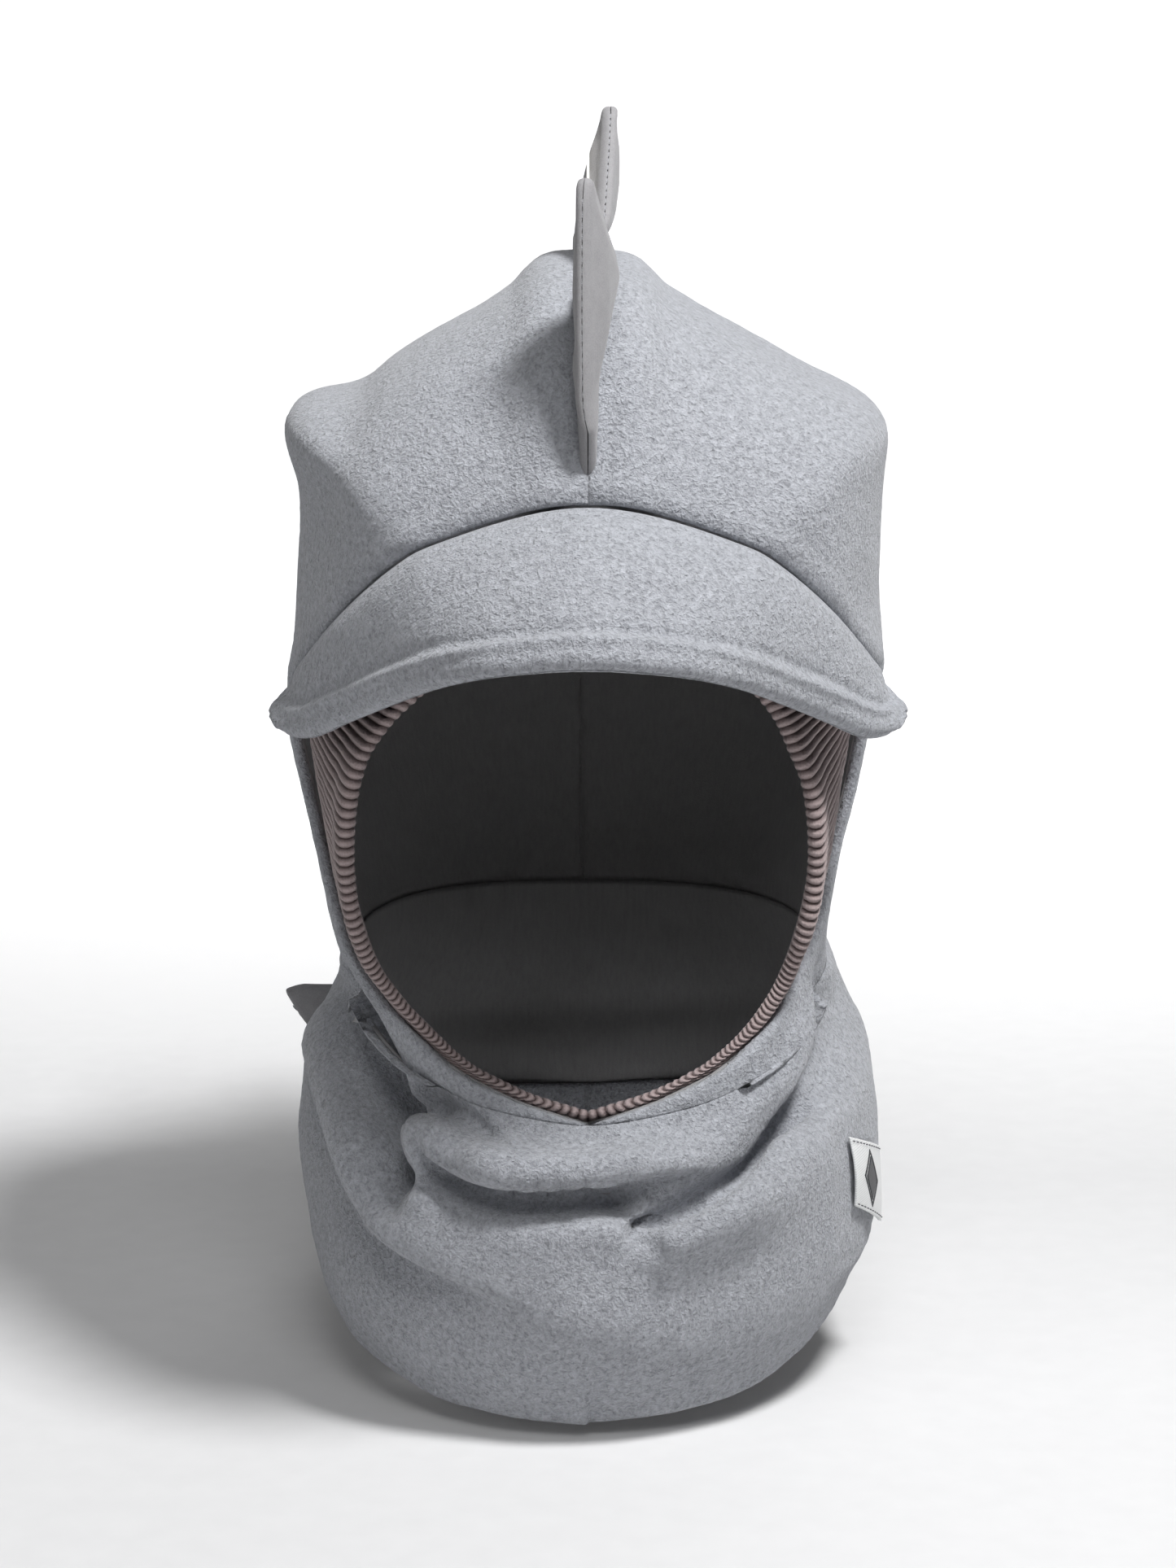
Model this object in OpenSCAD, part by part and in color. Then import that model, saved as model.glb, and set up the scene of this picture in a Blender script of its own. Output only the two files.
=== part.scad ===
// Child's fleece balaclava with a soft peak and a row of felt spikes.
// Worn shape. The face looks along -Y, the crown is +Z, millimetres.
// The origin is the seat of the head: the middle of the hood at brow height.

/* [Hood] */
// Half width of the hood at the temples
half_w = 90; // [86:1:95]
// From the middle of the head to the forehead
front_len = 102; // [98:1:106]
// From the middle of the head to the back
back_len = 100; // [94:1:106]
// Height of the ridge seam over the middle of the head
ridge_h = 126; // [120:1:132]
// Slope of each side of the gabled crown
gable_deg = 28.5; // [24:0.5:32]
// Sharpness of the two upper corners
corner_pow = 10; // [6:1:14]
// Thickness of the fleece shell
shell_t = 2.6; // [2:0.1:3]
// Thickness of the jersey lining
lining_t = 2; // [1.4:0.1:2.4]

/* [Face opening] */
// Thickness of the ribbed band
band_t = 2; // [1.4:0.1:2.6]

/* [Peak] */
// How far the middle of the peak stands forward of the origin
peak_y = 135; // [128:1:140]
// Height of the middle of the peak's edge
peak_z = 44; // [40:1:50]
// Full thickness of the padded peak
peak_t = 6.4; // [5:0.2:8]
// Stand-off of the peak's own layers from the crown seam
peak_gap = 0.2; // [0.18:0.01:0.24]

/* [Spikes] */
// Length of a spike along the seam
fin_l = 58; // [50:1:60]
// Height of a spike
fin_h = 43; // [38:1:50]
// Half thickness at the thickest place
fin_t = 4.6; // [3.6:0.2:5.4]
// Half thickness at the base
fin_base_t = 2.6; // [2:0.1:3]

/* [Cowl] */
// Thickness of the cowl's outer fleece
cowl_t = 2.6; // [2:0.1:3]
// Thickness of the cowl's lining
cowl_lining_t = 2.2; // [1.6:0.1:2.6]
// Drop of the front hem below the origin
hem_front = 183; // [176:1:188]
// Roundness of the cowl's front, seen from above
cowl_pow = 2.1; // [2:0.1:2.6]
// Drop of the back hem below the origin
hem_back = 152; // [144:1:156]

/* [Label] */
// Height of the woven label
label_h = 21; // [18:1:24]

/* [Hidden] */
fleece = "#9fa3aa";
ribs = "#9c9090";
felt = "#84838a";
cy = 5;
cz = 20;
pn = 2.6;
gs = sin(gable_deg);
gc = cos(gable_deg);
z_join = 24;

function pw(b, e) = b <= 0 ? 0 : pow(b, e);
function lerp(a, b, t) = a + (b - a) * t;
function unit(v) = v / norm(v);
// Catmull-Rom through evenly spaced control points, u from 0 to 1
function cr1(a, b, c, d, t) = 0.5 * (2 * b + (c - a) * t + (2 * a - 5 * b + 4 * c - d) * t * t + (3 * b - a - 3 * c + d) * t * t * t);
function cr(p, u) = let (n = len(p) - 1, s = min(max(u, 0), 1) * n, i = min(floor(s), n - 1), t = s - i)
  cr1(p[max(i - 1, 0)], p[i], p[i + 1], p[min(i + 2, n)], t);

// Distance from the middle of the head to the shell, by azimuth from the face and elevation
function rad(ph, th) = let (dx = abs(sin(ph)) * cos(th), dy = -cos(ph) * cos(th), dz = sin(th),
    g = max(0, (gs * dx + gc * dz) / (gc * ridge_h)), s = dx / half_w, ly = dy < 0 ? front_len : back_len)
  pow(pow(pw(g, corner_pow) + pw(s, corner_pow), pn / corner_pow) + pw(abs(dy) / ly, pn), -1 / pn);
function hood_up(ph, th, off) = let (r = rad(ph, th) - off)
  [sin(ph) * cos(th) * r, cy - cos(ph) * cos(th) * r, cz + sin(th) * r];
function wx(z) = lookup(z, [[-110, 0.81], [-66, 0.825], [-45, 0.855], [-29, 0.89], [-13, 0.93], [5, 0.97], [z_join, 1]]);
function wf(z) = lookup(z, [[-110, 0.95], [-60, 0.93], [0, 0.97], [z_join, 1]]);
function wb(z) = lookup(z, [[-110, 0.76], [-66, 0.78], [-40, 0.86], [0, 0.96], [z_join, 1]]);
function hood_low(ph, z, off) = let (r = rad(ph, 0) - off)
  [sin(ph) * r * wx(z), cy - cos(ph) * r * (cos(ph) > 0 ? wf(z) : wb(z)), z];
// Elevation of the peak's seam on the crown
seam_end = 71;
function seam_th(ph) = ph >= seam_end ? 2.5 : 2.5 + 31 * pow(cos(ph * 90 / seam_end), 1.5);
// Azimuth of the shell's front edge beside the face
function edge_ph(z) = lookup(z, [[-98, 0], [-92, 14], [-84, 28], [-66, 47], [-56, 57], [-42, 64], [-30, 69], [z_join, seam_end]]);
// Height of the seam between hood and cowl
function neck_z(ph) = lookup(ph, [[0, -98], [15, -95], [30, -90], [47, -80], [65, -71], [90, -66], [180, -66]]);

// A closed sheet: outer points, inner points, triangles of one side, and the loop round its edge
module sheet(po, pi, tris, loop, flip = false) {
  n = len(po);
  m = len(loop);
  f = concat(tris,
    [for (t = tris) [t[2] + n, t[1] + n, t[0] + n]],
    [for (k = [0:m - 1]) let (a = loop[k], b = loop[(k + 1) % m]) [b, a, a + n]],
    [for (k = [0:m - 1]) let (a = loop[k], b = loop[(k + 1) % m]) [b, a + n, b + n]]);
  polyhedron(concat(po, pi), flip ? [for (t = f) [t[2], t[1], t[0]]] : f, convexity = 8);
}
function grid_tris(nu, nv) = [for (i = [0:nu - 1], j = [0:nv - 1], k = [0, 1])
  let (a = i * (nv + 1) + j, b = a + 1, c = a + nv + 2, d = a + nv + 1) k == 0 ? [a, b, c] : [a, c, d]];
function grid_loop(nu, nv) = concat([for (j = [0:nv - 1]) j], [for (i = [0:nu - 1]) i * (nv + 1) + nv],
  [for (j = [nv:-1:1]) nu * (nv + 1) + j], [for (i = [nu:-1:1]) i * (nv + 1)]);
module grid_sheet(po, pi, nu, nv, flip = false) { sheet(po, pi, grid_tris(nu, nv), grid_loop(nu, nv), flip); }

// Half of the hood: crown, temple, side of the neck and the strip beside the face
hn = 20; // columns round the head
hk = 8; // the column where the front edge starts
hm = 11; // rows over the crown
hl = 9; // rows down the side
function col_ph(j) = j <= hk ? seam_end * j / hk : lerp(seam_end, 180, (j - hk) / (hn - hk));
function half_pts(off) = concat([[0, cy, cz + ridge_h - off]],
  [for (i = [1:hm], j = [0:hn]) let (ph = col_ph(j)) hood_up(ph, 90 - (90 - seam_th(ph)) * pow(i / hm, 0.94), off)],
  [for (k = [1:hl], j = [hk:hn]) let (w = k / hl, c = (j - hk) / (hn - hk),
      ph = lerp(edge_ph(z_join - w * (z_join + 98)), 180, c))
    hood_low(ph, lerp(z_join, neck_z(180 * c), w), off)]);
function hi(i, j) = i == 0 ? 0 : 1 + (i - 1) * (hn + 1) + j;
function lo(k, j) = k == 0 ? hi(hm, j) : 1 + hm * (hn + 1) + (k - 1) * (hn - hk + 1) + (j - hk);
half_tris = concat([for (j = [0:hn - 1]) [0, hi(1, j + 1), hi(1, j)]],
  [for (i = [1:hm - 1], j = [0:hn - 1], q = [0, 1]) q == 0 ? [hi(i, j), hi(i, j + 1), hi(i + 1, j + 1)] : [hi(i, j), hi(i + 1, j + 1), hi(i + 1, j)]],
  [for (k = [0:hl - 1], j = [hk:hn - 1], q = [0, 1]) q == 0 ? [lo(k, j), lo(k, j + 1), lo(k + 1, j + 1)] : [lo(k, j), lo(k + 1, j + 1), lo(k + 1, j)]]);
half_loop = concat([0], [for (i = [1:hm]) hi(i, hn)], [for (k = [1:hl]) lo(k, hn)], [for (j = [hn - 1:-1:hk]) lo(hl, j)],
  [for (k = [hl - 1:-1:0]) lo(k, hk)], [for (j = [hk - 1:-1:0]) hi(hm, j)], [for (i = [hm - 1:-1:1]) hi(i, 0)]);
module half_hood(o1, o2, side) {
  sheet([for (p = half_pts(o1)) [p[0] * side, p[1], p[2]]], [for (p = half_pts(o2)) [p[0] * side, p[1], p[2]]],
    half_tris, half_loop, side < 0);
}

module hood_shell_left() { color(fleece) half_hood(0, shell_t, -1); }
module hood_shell_right() { color(fleece) half_hood(0, shell_t, 1); }
module hood_lining_left() { color(ribs) half_hood(shell_t + 0.1, shell_t + 0.1 + lining_t, -1); }
module hood_lining_right() { color(ribs) half_hood(shell_t + 0.1, shell_t + 0.1 + lining_t, 1); }

// Ribbed band round the face: sewn edge on the lining, free edge round the opening
band_off = shell_t + lining_t + 1;
band_free = [[0, -92, 52], [22, -90, 48], [40, -84, 36], [54, -77, 19], [62, -73, 3], [65, -72, -13],
  [65, -71, -30], [62, -71, -46], [55, -74, -60], [41, -80, -74], [22, -87, -85], [0, -91, -92]];
function band_sewn(u) = u < 0.34 ? let (ph = seam_end * u / 0.34) hood_up(ph, seam_th(ph), band_off)
  : let (z = lerp(z_join, -98, (u - 0.34) / 0.66)) hood_low(edge_ph(z), z, band_off);
function inward(p, d) = let (v = unit([p[0], p[1] - cy - 10])) [p[0] - v[0] * d, p[1] - v[1] * d, p[2]];
bn = 24;
band_half = [for (i = [0:bn]) let (u = i / bn, a = band_sewn(u), b = cr(band_free, u))
  [a, (a + b) / 2, b, inward(b, band_t), inward((a + b) / 2, band_t), inward(a, band_t)]];
band_ring = concat([for (i = [0:bn]) band_half[i]],
  [for (i = [bn - 1:-1:1]) [for (p = band_half[i]) [-p[0], p[1], p[2]]]]);
module face_band() {
  n = len(band_ring);
  color(ribs) polyhedron([for (r = band_ring, p = r) p],
    [for (i = [0:n - 1], j = [0:5], k = [0, 1]) let (a = i * 6 + j, b = i * 6 + (j + 1) % 6,
        c = ((i + 1) % n) * 6 + (j + 1) % 6, d = ((i + 1) % n) * 6 + j) k == 0 ? [c, b, a] : [d, c, a]], convexity = 6);
}

// Cowl: from the neck seam out over the shoulders
function cw_top(ph) = neck_z(ph) - 0.3;
function cw_hem(ph) = lookup(ph, [[0, -hem_front], [25, 3 - hem_front], [38, 8 - hem_front], [50, 13 - hem_front],
  [60, 19 - hem_front], [70, 26 - hem_front], [78, 34 - hem_front], [88, -146], [130, 2 - hem_back], [180, -hem_back]]);
cw_x = [[-184, 86], [-165, 91], [-141, 92], [-125, 91], [-100, 88], [-84, 81], [-66, 74.3]];
cw_f = [[-184, 110], [-150, 116], [-120, 117], [-108, 112], [-98, 98.5], [-90, 95.5], [-66, 94.9]];
cw_b = [[-154, 88], [-110, 85], [-84, 80], [-66, 78]];
function cowl_pt(ph, z, off) = let (a = lookup(z, cw_x), b = cos(ph) > 0 ? lookup(z, cw_f) : lookup(z, cw_b),
    c = abs(cos(ph)), s = sin(ph), n = cos(ph) > 0 ? cowl_pow : 2.5, r = pow(pw(s / a, n) + pw(c / b, n), -1 / n) - off)
  [s * r, cy - cos(ph) * r, z];
cn = 12;
cm = 11;
// Half-angle ph0..ph1 signed: negative azimuths are the left side
function cowl_grid(p0, p1, nn, off) = [for (i = [0:nn], k = [0:cm]) let (q = lerp(p0, p1, i / nn), ph = abs(q),
    p = cowl_pt(ph > 180 ? 360 - ph : ph, lerp(cw_top(ph > 180 ? 360 - ph : ph), cw_hem(ph > 180 ? 360 - ph : ph), k / cm), off))
  [(q < 0 || q > 180 ? -1 : 1) * p[0], p[1], p[2]]];
side_ph = 90;
module cowl_front() { color(fleece) grid_sheet(cowl_grid(-side_ph, side_ph, 24, 0), cowl_grid(-side_ph, side_ph, 24, cowl_t), 24, cm, true); }
module cowl_back() { color(fleece) grid_sheet(cowl_grid(side_ph, 360 - side_ph, 20, 0), cowl_grid(side_ph, 360 - side_ph, 20, cowl_t), 20, cm, true); }
module cowl_lining_front() { color("#8f8f94") grid_sheet(cowl_grid(-side_ph, side_ph, 24, cowl_t + 0.1), cowl_grid(-side_ph, side_ph, 24, cowl_t + 0.1 + cowl_lining_t), 24, cm, true); }
module cowl_lining_back() { color("#8f8f94") grid_sheet(cowl_grid(side_ph, 360 - side_ph, 20, cowl_t + 0.1), cowl_grid(side_ph, 360 - side_ph, 20, cowl_t + 0.1 + cowl_lining_t), 20, cm, true); }

// Peak: from the seam on the crown to its own free edge
peak_edge = [[0, -peak_y, peak_z], [14, 2 - peak_y, peak_z - 1], [28, 7 - peak_y, peak_z - 3.5], [42, 20 - peak_y, peak_z - 9],
  [55, 36 - peak_y, peak_z - 16.5], [68, 52 - peak_y, peak_z - 24.5], [81, 67 - peak_y, peak_z - 32], [94, 84 - peak_y, peak_z - 33]];
function peak_mid(a, b) = let (q = abs(a), s = hood_up(seam_end * q, seam_th(seam_end * q), 0), e = cr(peak_edge, q),
    m = lerp(s, e, b) + [0, -0.55, 0.83] * 4 * sin(180 * b) * (1 - 0.5 * q))
  [(a < 0 ? -1 : 1) * m[0], m[1], m[2]];
function peak_n(a, b) = let (d = 0.02, u = peak_mid(a + d, b) - peak_mid(a - d, b), v = peak_mid(a, b + d) - peak_mid(a, b - d))
  unit(cross(v, u));
function peak_half(b) = peak_t / 2 * (0.8 + 0.2 * b) * pow(max(0, 1 - pow(b, 9)), 0.5);
pu = 20;
pv = 7;
function peak_b(j) = lerp(peak_gap, 1, 1 - pow(1 - j / pv, 1.4));
function peak_grid(lo, hi_, off) = [for (i = [0:pu], j = [0:pv]) let (a = lerp(-0.97, 0.97, i / pu), b = peak_b(j))
  peak_mid(a, b) + peak_n(a, b) * (lo + hi_ * (peak_half(b) + off))];
module brim_upper() { color(fleece) grid_sheet(peak_grid(0, 1, 0.9), peak_grid(0.8, 0, 0), pu, pv, true); }
module brim_lower() { color(fleece) grid_sheet(peak_grid(-0.8, 0, 0), peak_grid(0, -1, 0.9), pu, pv, true); }
function core_grid(h) = [for (i = [0:pu], j = [0:pv]) let (a = lerp(-0.9, 0.9, i / pu), b = lerp(peak_gap + 0.05, 0.92, j / pv))
  peak_mid(a, b) + peak_n(a, b) * h];
module brim_stiffener() { color("#e6e4de") grid_sheet(core_grid(0.35), core_grid(-0.35), pu, pv, true); }
// The peak's layers turned in and sewn to the crown seam
function allow_grid(h) = [for (i = [0:pu], j = [0:2]) let (a = lerp(-0.97, 0.97, i / pu), b = lerp(0.02, 0.04, j / 2))
  peak_mid(a, b) + peak_n(a, b) * h];
module brim_seam_allowance() { color(fleece) grid_sheet(allow_grid(1.2), allow_grid(-1.2), pu, 2, true); }

// Spikes: side outline in (t along the seam, h away from it)
function ridge(q) = let (p = q <= 90 ? hood_up(0, q, 0) : hood_up(180, 180 - q, 0)) [0, p[1], p[2]];
spike_q = [[39, 70], [73, 102], [105, 134], [137, 168]];
function fin_lead(v) = fin_l * (0.90 * pow(v, 1.12));
function fin_trail(v) = fin_l * (1 - 0.02 * sin(180 * v) - 0.01 * v);
function fin_round(v) = 0.5 * fin_l * 0.05 * pw((v - 0.9) / 0.1, 2);
function fin_half(u, v) = let (c = lookup(v, [[0, fin_base_t], [0.15, 0.8 * fin_t], [0.45, fin_t], [0.7, 0.8 * fin_t], [1, 1.9]]))
  v < 0.001 ? fin_base_t * (0.55 + 0.45 * pow(sin(180 * u), 0.5)) : 1.3 + (c - 1.3) * pow(max(0, sin(180 * u)), 0.6);
fu = 6;
fv = 7;
function fin_t_at(u, v) = lerp(fin_lead(v) + fin_round(v), fin_trail(v) - fin_round(v), u);
function fin_grid(k, sx) = [for (i = [0:fu], j = [0:fv]) let (u = i / fu, v = j / fv)
  [fin_t_at(u, v), fin_h * v, sx * (k ? fin_half(u, v) : 0.45)]];
module fin_felt(sx) { grid_sheet(fin_grid(true, sx), fin_grid(false, sx), fu, fv, sx < 0); }
fin_outline = concat([for (j = [0:10]) let (v = j / 10) [fin_t_at(0, v), fin_h * v]], [for (j = [10:-1:0]) let (v = j / 10) [fin_t_at(1, v), fin_h * v]]);
function fin_in(d, n = 10) = concat(
  [for (j = [0:n]) let (v = lerp(0.03, 1 - d / fin_h, j / n)) [fin_t_at(0, v) + d, fin_h * v]],
  [for (j = [n:-1:0]) let (v = lerp(0.03, 1 - d / fin_h, j / n)) [fin_t_at(1, v) - d, fin_h * v]]);
module fin_core() { translate([0, 0, -0.4]) linear_extrude(0.8) polygon(fin_core_pts); }
fin_core_pts = concat([for (j = [0:6]) let (v = lerp(0.05, 0.72, j / 6)) [fin_t_at(0, v) + 4, fin_h * v]],
  [for (j = [6:-1:0]) let (v = lerp(0.05, 0.72, j / 6)) [fin_t_at(1, v) - 3, fin_h * v]]);
// Edge stitching: a thread run inside the two edges
function stitch_side(u, s) = [for (j = [0:8]) let (v = lerp(0.05, 0.9, j / 8)) [fin_t_at(u, v) + s, fin_h * v]];
module fin_thread() {
  for (e = [[0, 1.4, 2.2], [1, -2.2, -1.4]]) translate([0, 0, -0.35]) linear_extrude(0.7)
    polygon(concat(stitch_side(e[0], e[1]), [for (i = [8:-1:0]) stitch_side(e[0], e[2])[i]]));
}
// Height of the ridge's highest point over the chord under a spike
function chord(k) = let (a = ridge(spike_q[k][0]), b = ridge(spike_q[k][1])) [a, unit(b - a)];
function up_of(e) = [0, -e[2], e[1]];
function rise(k) = let (c = chord(k), n = up_of(c[1])) max([for (q = [spike_q[k][0]:1:spike_q[k][1]]) (ridge(q) - c[0]) * n]);
fin_lift = fin_base_t + 0.5;
// Local t, h, x to the hood's frame
module on_ridge(k) {
  c = chord(k);
  e = c[1];
  n = up_of(e);
  o = c[0] + n * (rise(k) + fin_lift);
  multmatrix([[0, 0, 1, o[0]], [e[1], n[1], 0, o[1]], [e[2], n[2], 0, o[2]], [0, 0, 0, 1]]) children();
}
// The nape spike hangs over to the left, off the centre back
nape_o = [-57.5, 85, -158];
nape_tilt = 8;
module on_nape() { translate(nape_o) rotate([0, 0, 180 + nape_tilt]) rotate([0, 0, 0])
  multmatrix([[0, 1, 0, 0], [0, 0, 1, 0], [1, 0, 0, 0], [0, 0, 0, 1]]) children(); }

module spike_1_left() { color(felt) on_ridge(0) fin_felt(-1); }
module spike_1_right() { color(felt) on_ridge(0) fin_felt(1); }
module spike_1_interlining() { color("#d8d6d0") on_ridge(0) fin_core(); }
module spike_1_stitching() { color("#3c3c42") on_ridge(0) fin_thread(); }
module spike_2_left() { color(felt) on_ridge(1) fin_felt(-1); }
module spike_2_right() { color(felt) on_ridge(1) fin_felt(1); }
module spike_2_interlining() { color("#d8d6d0") on_ridge(1) fin_core(); }
module spike_2_stitching() { color("#3c3c42") on_ridge(1) fin_thread(); }
module spike_3_left() { color(felt) on_ridge(2) fin_felt(-1); }
module spike_3_right() { color(felt) on_ridge(2) fin_felt(1); }
module spike_3_interlining() { color("#d8d6d0") on_ridge(2) fin_core(); }
module spike_3_stitching() { color("#3c3c42") on_ridge(2) fin_thread(); }
module spike_4_left() { color(felt) on_ridge(3) fin_felt(-1); }
module spike_4_right() { color(felt) on_ridge(3) fin_felt(1); }
module spike_4_interlining() { color("#d8d6d0") on_ridge(3) fin_core(); }
module spike_4_stitching() { color("#3c3c42") on_ridge(3) fin_thread(); }
module nape_spike_left() { color(felt) on_nape() fin_felt(-1); }
module nape_spike_right() { color(felt) on_nape() fin_felt(1); }
module nape_spike_interlining() { color("#d8d6d0") on_nape() fin_core(); }
module nape_spike_stitching() { color("#3c3c42") on_nape() fin_thread(); }

// The spikes' turned-in edges, sewn into the ridge seam below each of them
module spike_seam_tabs() {
  color(fleece) for (k = [0:3]) {
    c = chord(k);
    n = up_of(c[1]);
    qs = [for (i = [0:8]) lerp(spike_q[k][0] + 1.5, spike_q[k][1] - 1.5, i / 8)];
    top = rise(k) + 0.1;
    pts = concat([for (q = qs) let (p = ridge(q), d = (p - c[0]) * n) p + n * 0.05],
      [for (i = [8:-1:0]) let (p = ridge(qs[i]), d = (p - c[0]) * n) p + n * max(0.6, top - d)]);
    multmatrix([[0, 0, 1, -1], [1, 0, 0, 0], [0, 1, 0, 0], [0, 0, 0, 1]]) linear_extrude(2) polygon([for (p = pts) [p[1], p[2]]]);
  }
}

// Label: a woven patch sewn to the cowl's right side, sloping down towards the back
label_z = -111.5;
label_ph = [51.5, 68.5];
function label_grid(o, u0, u1, v0, v1, nu, nv) = [for (i = [0:nu], k = [0:nv]) let (u = lerp(u0, u1, i / nu),
    v = lerp(v0, v1, k / nv)) cowl_pt(lerp(label_ph[0], label_ph[1], u), label_z - 11 * u - (label_h + 3 * u) * v, -o)];
module label_tape() { color("#e9e9e6") grid_sheet(label_grid(1.5, 0, 1, 0, 1, 6, 3), label_grid(0.7, 0, 1, 0, 1, 6, 3), 6, 3, true); }
module label_emblem() { color("#26272b") grid_sheet(label_grid(2, 0.3, 0.7, 0.24, 0.76, 3, 2), label_grid(1.7, 0.3, 0.7, 0.24, 0.76, 3, 2), 3, 2, true); }
module label_stitches() {
  color("#d5d5d2") for (v = [-0.05, 1.015])
    grid_sheet(label_grid(1.3, 0.02, 0.98, v, v + 0.035, 6, 1), label_grid(0.4, 0.02, 0.98, v, v + 0.035, 6, 1), 6, 1, true);
}

hood_shell_left();
hood_shell_right();
hood_lining_left();
hood_lining_right();
face_band();
cowl_front();
cowl_back();
cowl_lining_front();
cowl_lining_back();
brim_upper();
brim_lower();
brim_stiffener();
brim_seam_allowance();
spike_seam_tabs();
spike_1_left();
spike_1_right();
spike_1_interlining();
spike_1_stitching();
spike_2_left();
spike_2_right();
spike_2_interlining();
spike_2_stitching();
spike_3_left();
spike_3_right();
spike_3_interlining();
spike_3_stitching();
spike_4_left();
spike_4_right();
spike_4_interlining();
spike_4_stitching();
nape_spike_left();
nape_spike_right();
nape_spike_interlining();
nape_spike_stitching();
label_tape();
label_emblem();
label_stitches();
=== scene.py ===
"""Looks of a child's fleece balaclava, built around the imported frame. Lengths are worked out in millimetres and written in metres."""
import math
import bpy
import numpy as np
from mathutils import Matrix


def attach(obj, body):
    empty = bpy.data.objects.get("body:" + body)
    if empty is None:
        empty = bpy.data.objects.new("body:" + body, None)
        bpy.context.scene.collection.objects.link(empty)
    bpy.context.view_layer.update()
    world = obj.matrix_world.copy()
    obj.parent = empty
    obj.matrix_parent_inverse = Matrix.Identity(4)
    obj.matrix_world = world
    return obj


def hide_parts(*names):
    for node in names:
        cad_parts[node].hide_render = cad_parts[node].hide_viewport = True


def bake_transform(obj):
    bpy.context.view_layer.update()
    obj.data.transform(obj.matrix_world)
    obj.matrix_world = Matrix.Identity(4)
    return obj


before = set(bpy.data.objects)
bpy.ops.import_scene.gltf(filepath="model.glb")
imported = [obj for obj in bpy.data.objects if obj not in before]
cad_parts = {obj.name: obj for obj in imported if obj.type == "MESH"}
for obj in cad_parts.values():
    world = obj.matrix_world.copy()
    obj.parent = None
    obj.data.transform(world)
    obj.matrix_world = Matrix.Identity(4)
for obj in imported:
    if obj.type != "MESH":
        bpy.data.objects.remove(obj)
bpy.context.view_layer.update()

STEP = 1.0          # mesh spacing factor

# ---------------------------------------------------------------- camera
CAM = np.array([0.0, -1173.8, 233.5])
AIM = np.array([0.0, 0.0, -16.0])
FWD = (AIM - CAM) / np.linalg.norm(AIM - CAM)
RIGHT = np.array([1.0, 0.0, 0.0])
UP = np.cross(RIGHT, FWD)


def picture(P):
    """Where a point shows in the front view, in millimetres right and up of the aim, at the aim's distance."""
    d = P - CAM
    w = d @ FWD
    return d @ RIGHT / w * 1200.0, d @ UP / w * 1200.0


# ---------------------------------------------------------------- small maths
def smooth(x, a, b):
    t = np.clip((np.asarray(x, float) - a) / (b - a), 0, 1)
    return t * t * (3 - 2 * t)


def lut(x, tab):
    t = np.array(tab, float)
    return np.interp(x, t[:, 0], t[:, 1])


_soft = {}


def slut(x, tab, s):
    """Table lookup rounded off over s units."""
    k = (str(tab), s)
    if k not in _soft:
        t = np.array(tab, float)
        lo, hi = t[0, 0] - 4 * s, t[-1, 0] + 4 * s
        xs = np.linspace(lo, hi, 1200)
        ys = np.interp(xs, t[:, 0], t[:, 1])
        ys[xs < t[0, 0]] = t[0, 1] + (t[1, 1] - t[0, 1]) / (t[1, 0] - t[0, 0]) * (xs[xs < t[0, 0]] - t[0, 0])
        ys[xs > t[-1, 0]] = t[-1, 1] + (t[-1, 1] - t[-2, 1]) / (t[-1, 0] - t[-2, 0]) * (xs[xs > t[-1, 0]] - t[-1, 0])
        n = int(max(3, 3 * s / (xs[1] - xs[0])))
        g = np.exp(-0.5 * (np.arange(-n, n + 1) * (xs[1] - xs[0]) / s) ** 2)
        g /= g.sum()
        pad = np.concatenate([ys[0] + (ys[1] - ys[0]) * np.arange(-n, 0), ys, ys[-1] + (ys[-1] - ys[-2]) * np.arange(1, n + 1)])
        _soft[k] = (xs, np.convolve(pad, g, "valid"))
    xs, ys = _soft[k]
    return np.interp(x, xs, ys)


def spline(pts, n, closed=False):
    """n points evenly spaced along a Catmull-Rom curve through pts."""
    p = np.array(pts, float)
    m = len(p)
    if closed:
        q = np.vstack([p[-1], p, p[0], p[1]])
        seg = m
    else:
        q = np.vstack([2 * p[0] - p[1], p, 2 * p[-1] - p[-2]])
        seg = m - 1
    out = []
    for i in range(seg):
        a, b, c, d = q[i], q[i + 1], q[i + 2], q[i + 3]
        t = np.linspace(0, 1, 24, endpoint=False)[:, None]
        out.append(0.5 * (2 * b + (c - a) * t + (2 * a - 5 * b + 4 * c - d) * t * t + (3 * b - a - 3 * c + d) * t ** 3))
    out.append((p[0] if closed else p[-1])[None])
    o = np.vstack(out)
    s = np.concatenate([[0], np.cumsum(np.linalg.norm(np.diff(o, axis=0), axis=1))])
    k = np.linspace(0, s[-1], n)
    return np.stack([np.interp(k, s, o[:, j]) for j in range(o.shape[1])], 1)


def _hash(i, j, k, seed):
    n = (i * 374761393 + j * 668265263 + k * 1274126177 + seed * 974711) & 0xFFFFFFFF
    n = ((n ^ (n >> 13)) * 1103515245) & 0xFFFFFFFF
    n = ((n ^ (n >> 16)) * 2246822519) & 0xFFFFFFFF
    return ((n ^ (n >> 15)) & 0xFFFF) / 32767.5 - 1.0


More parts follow.
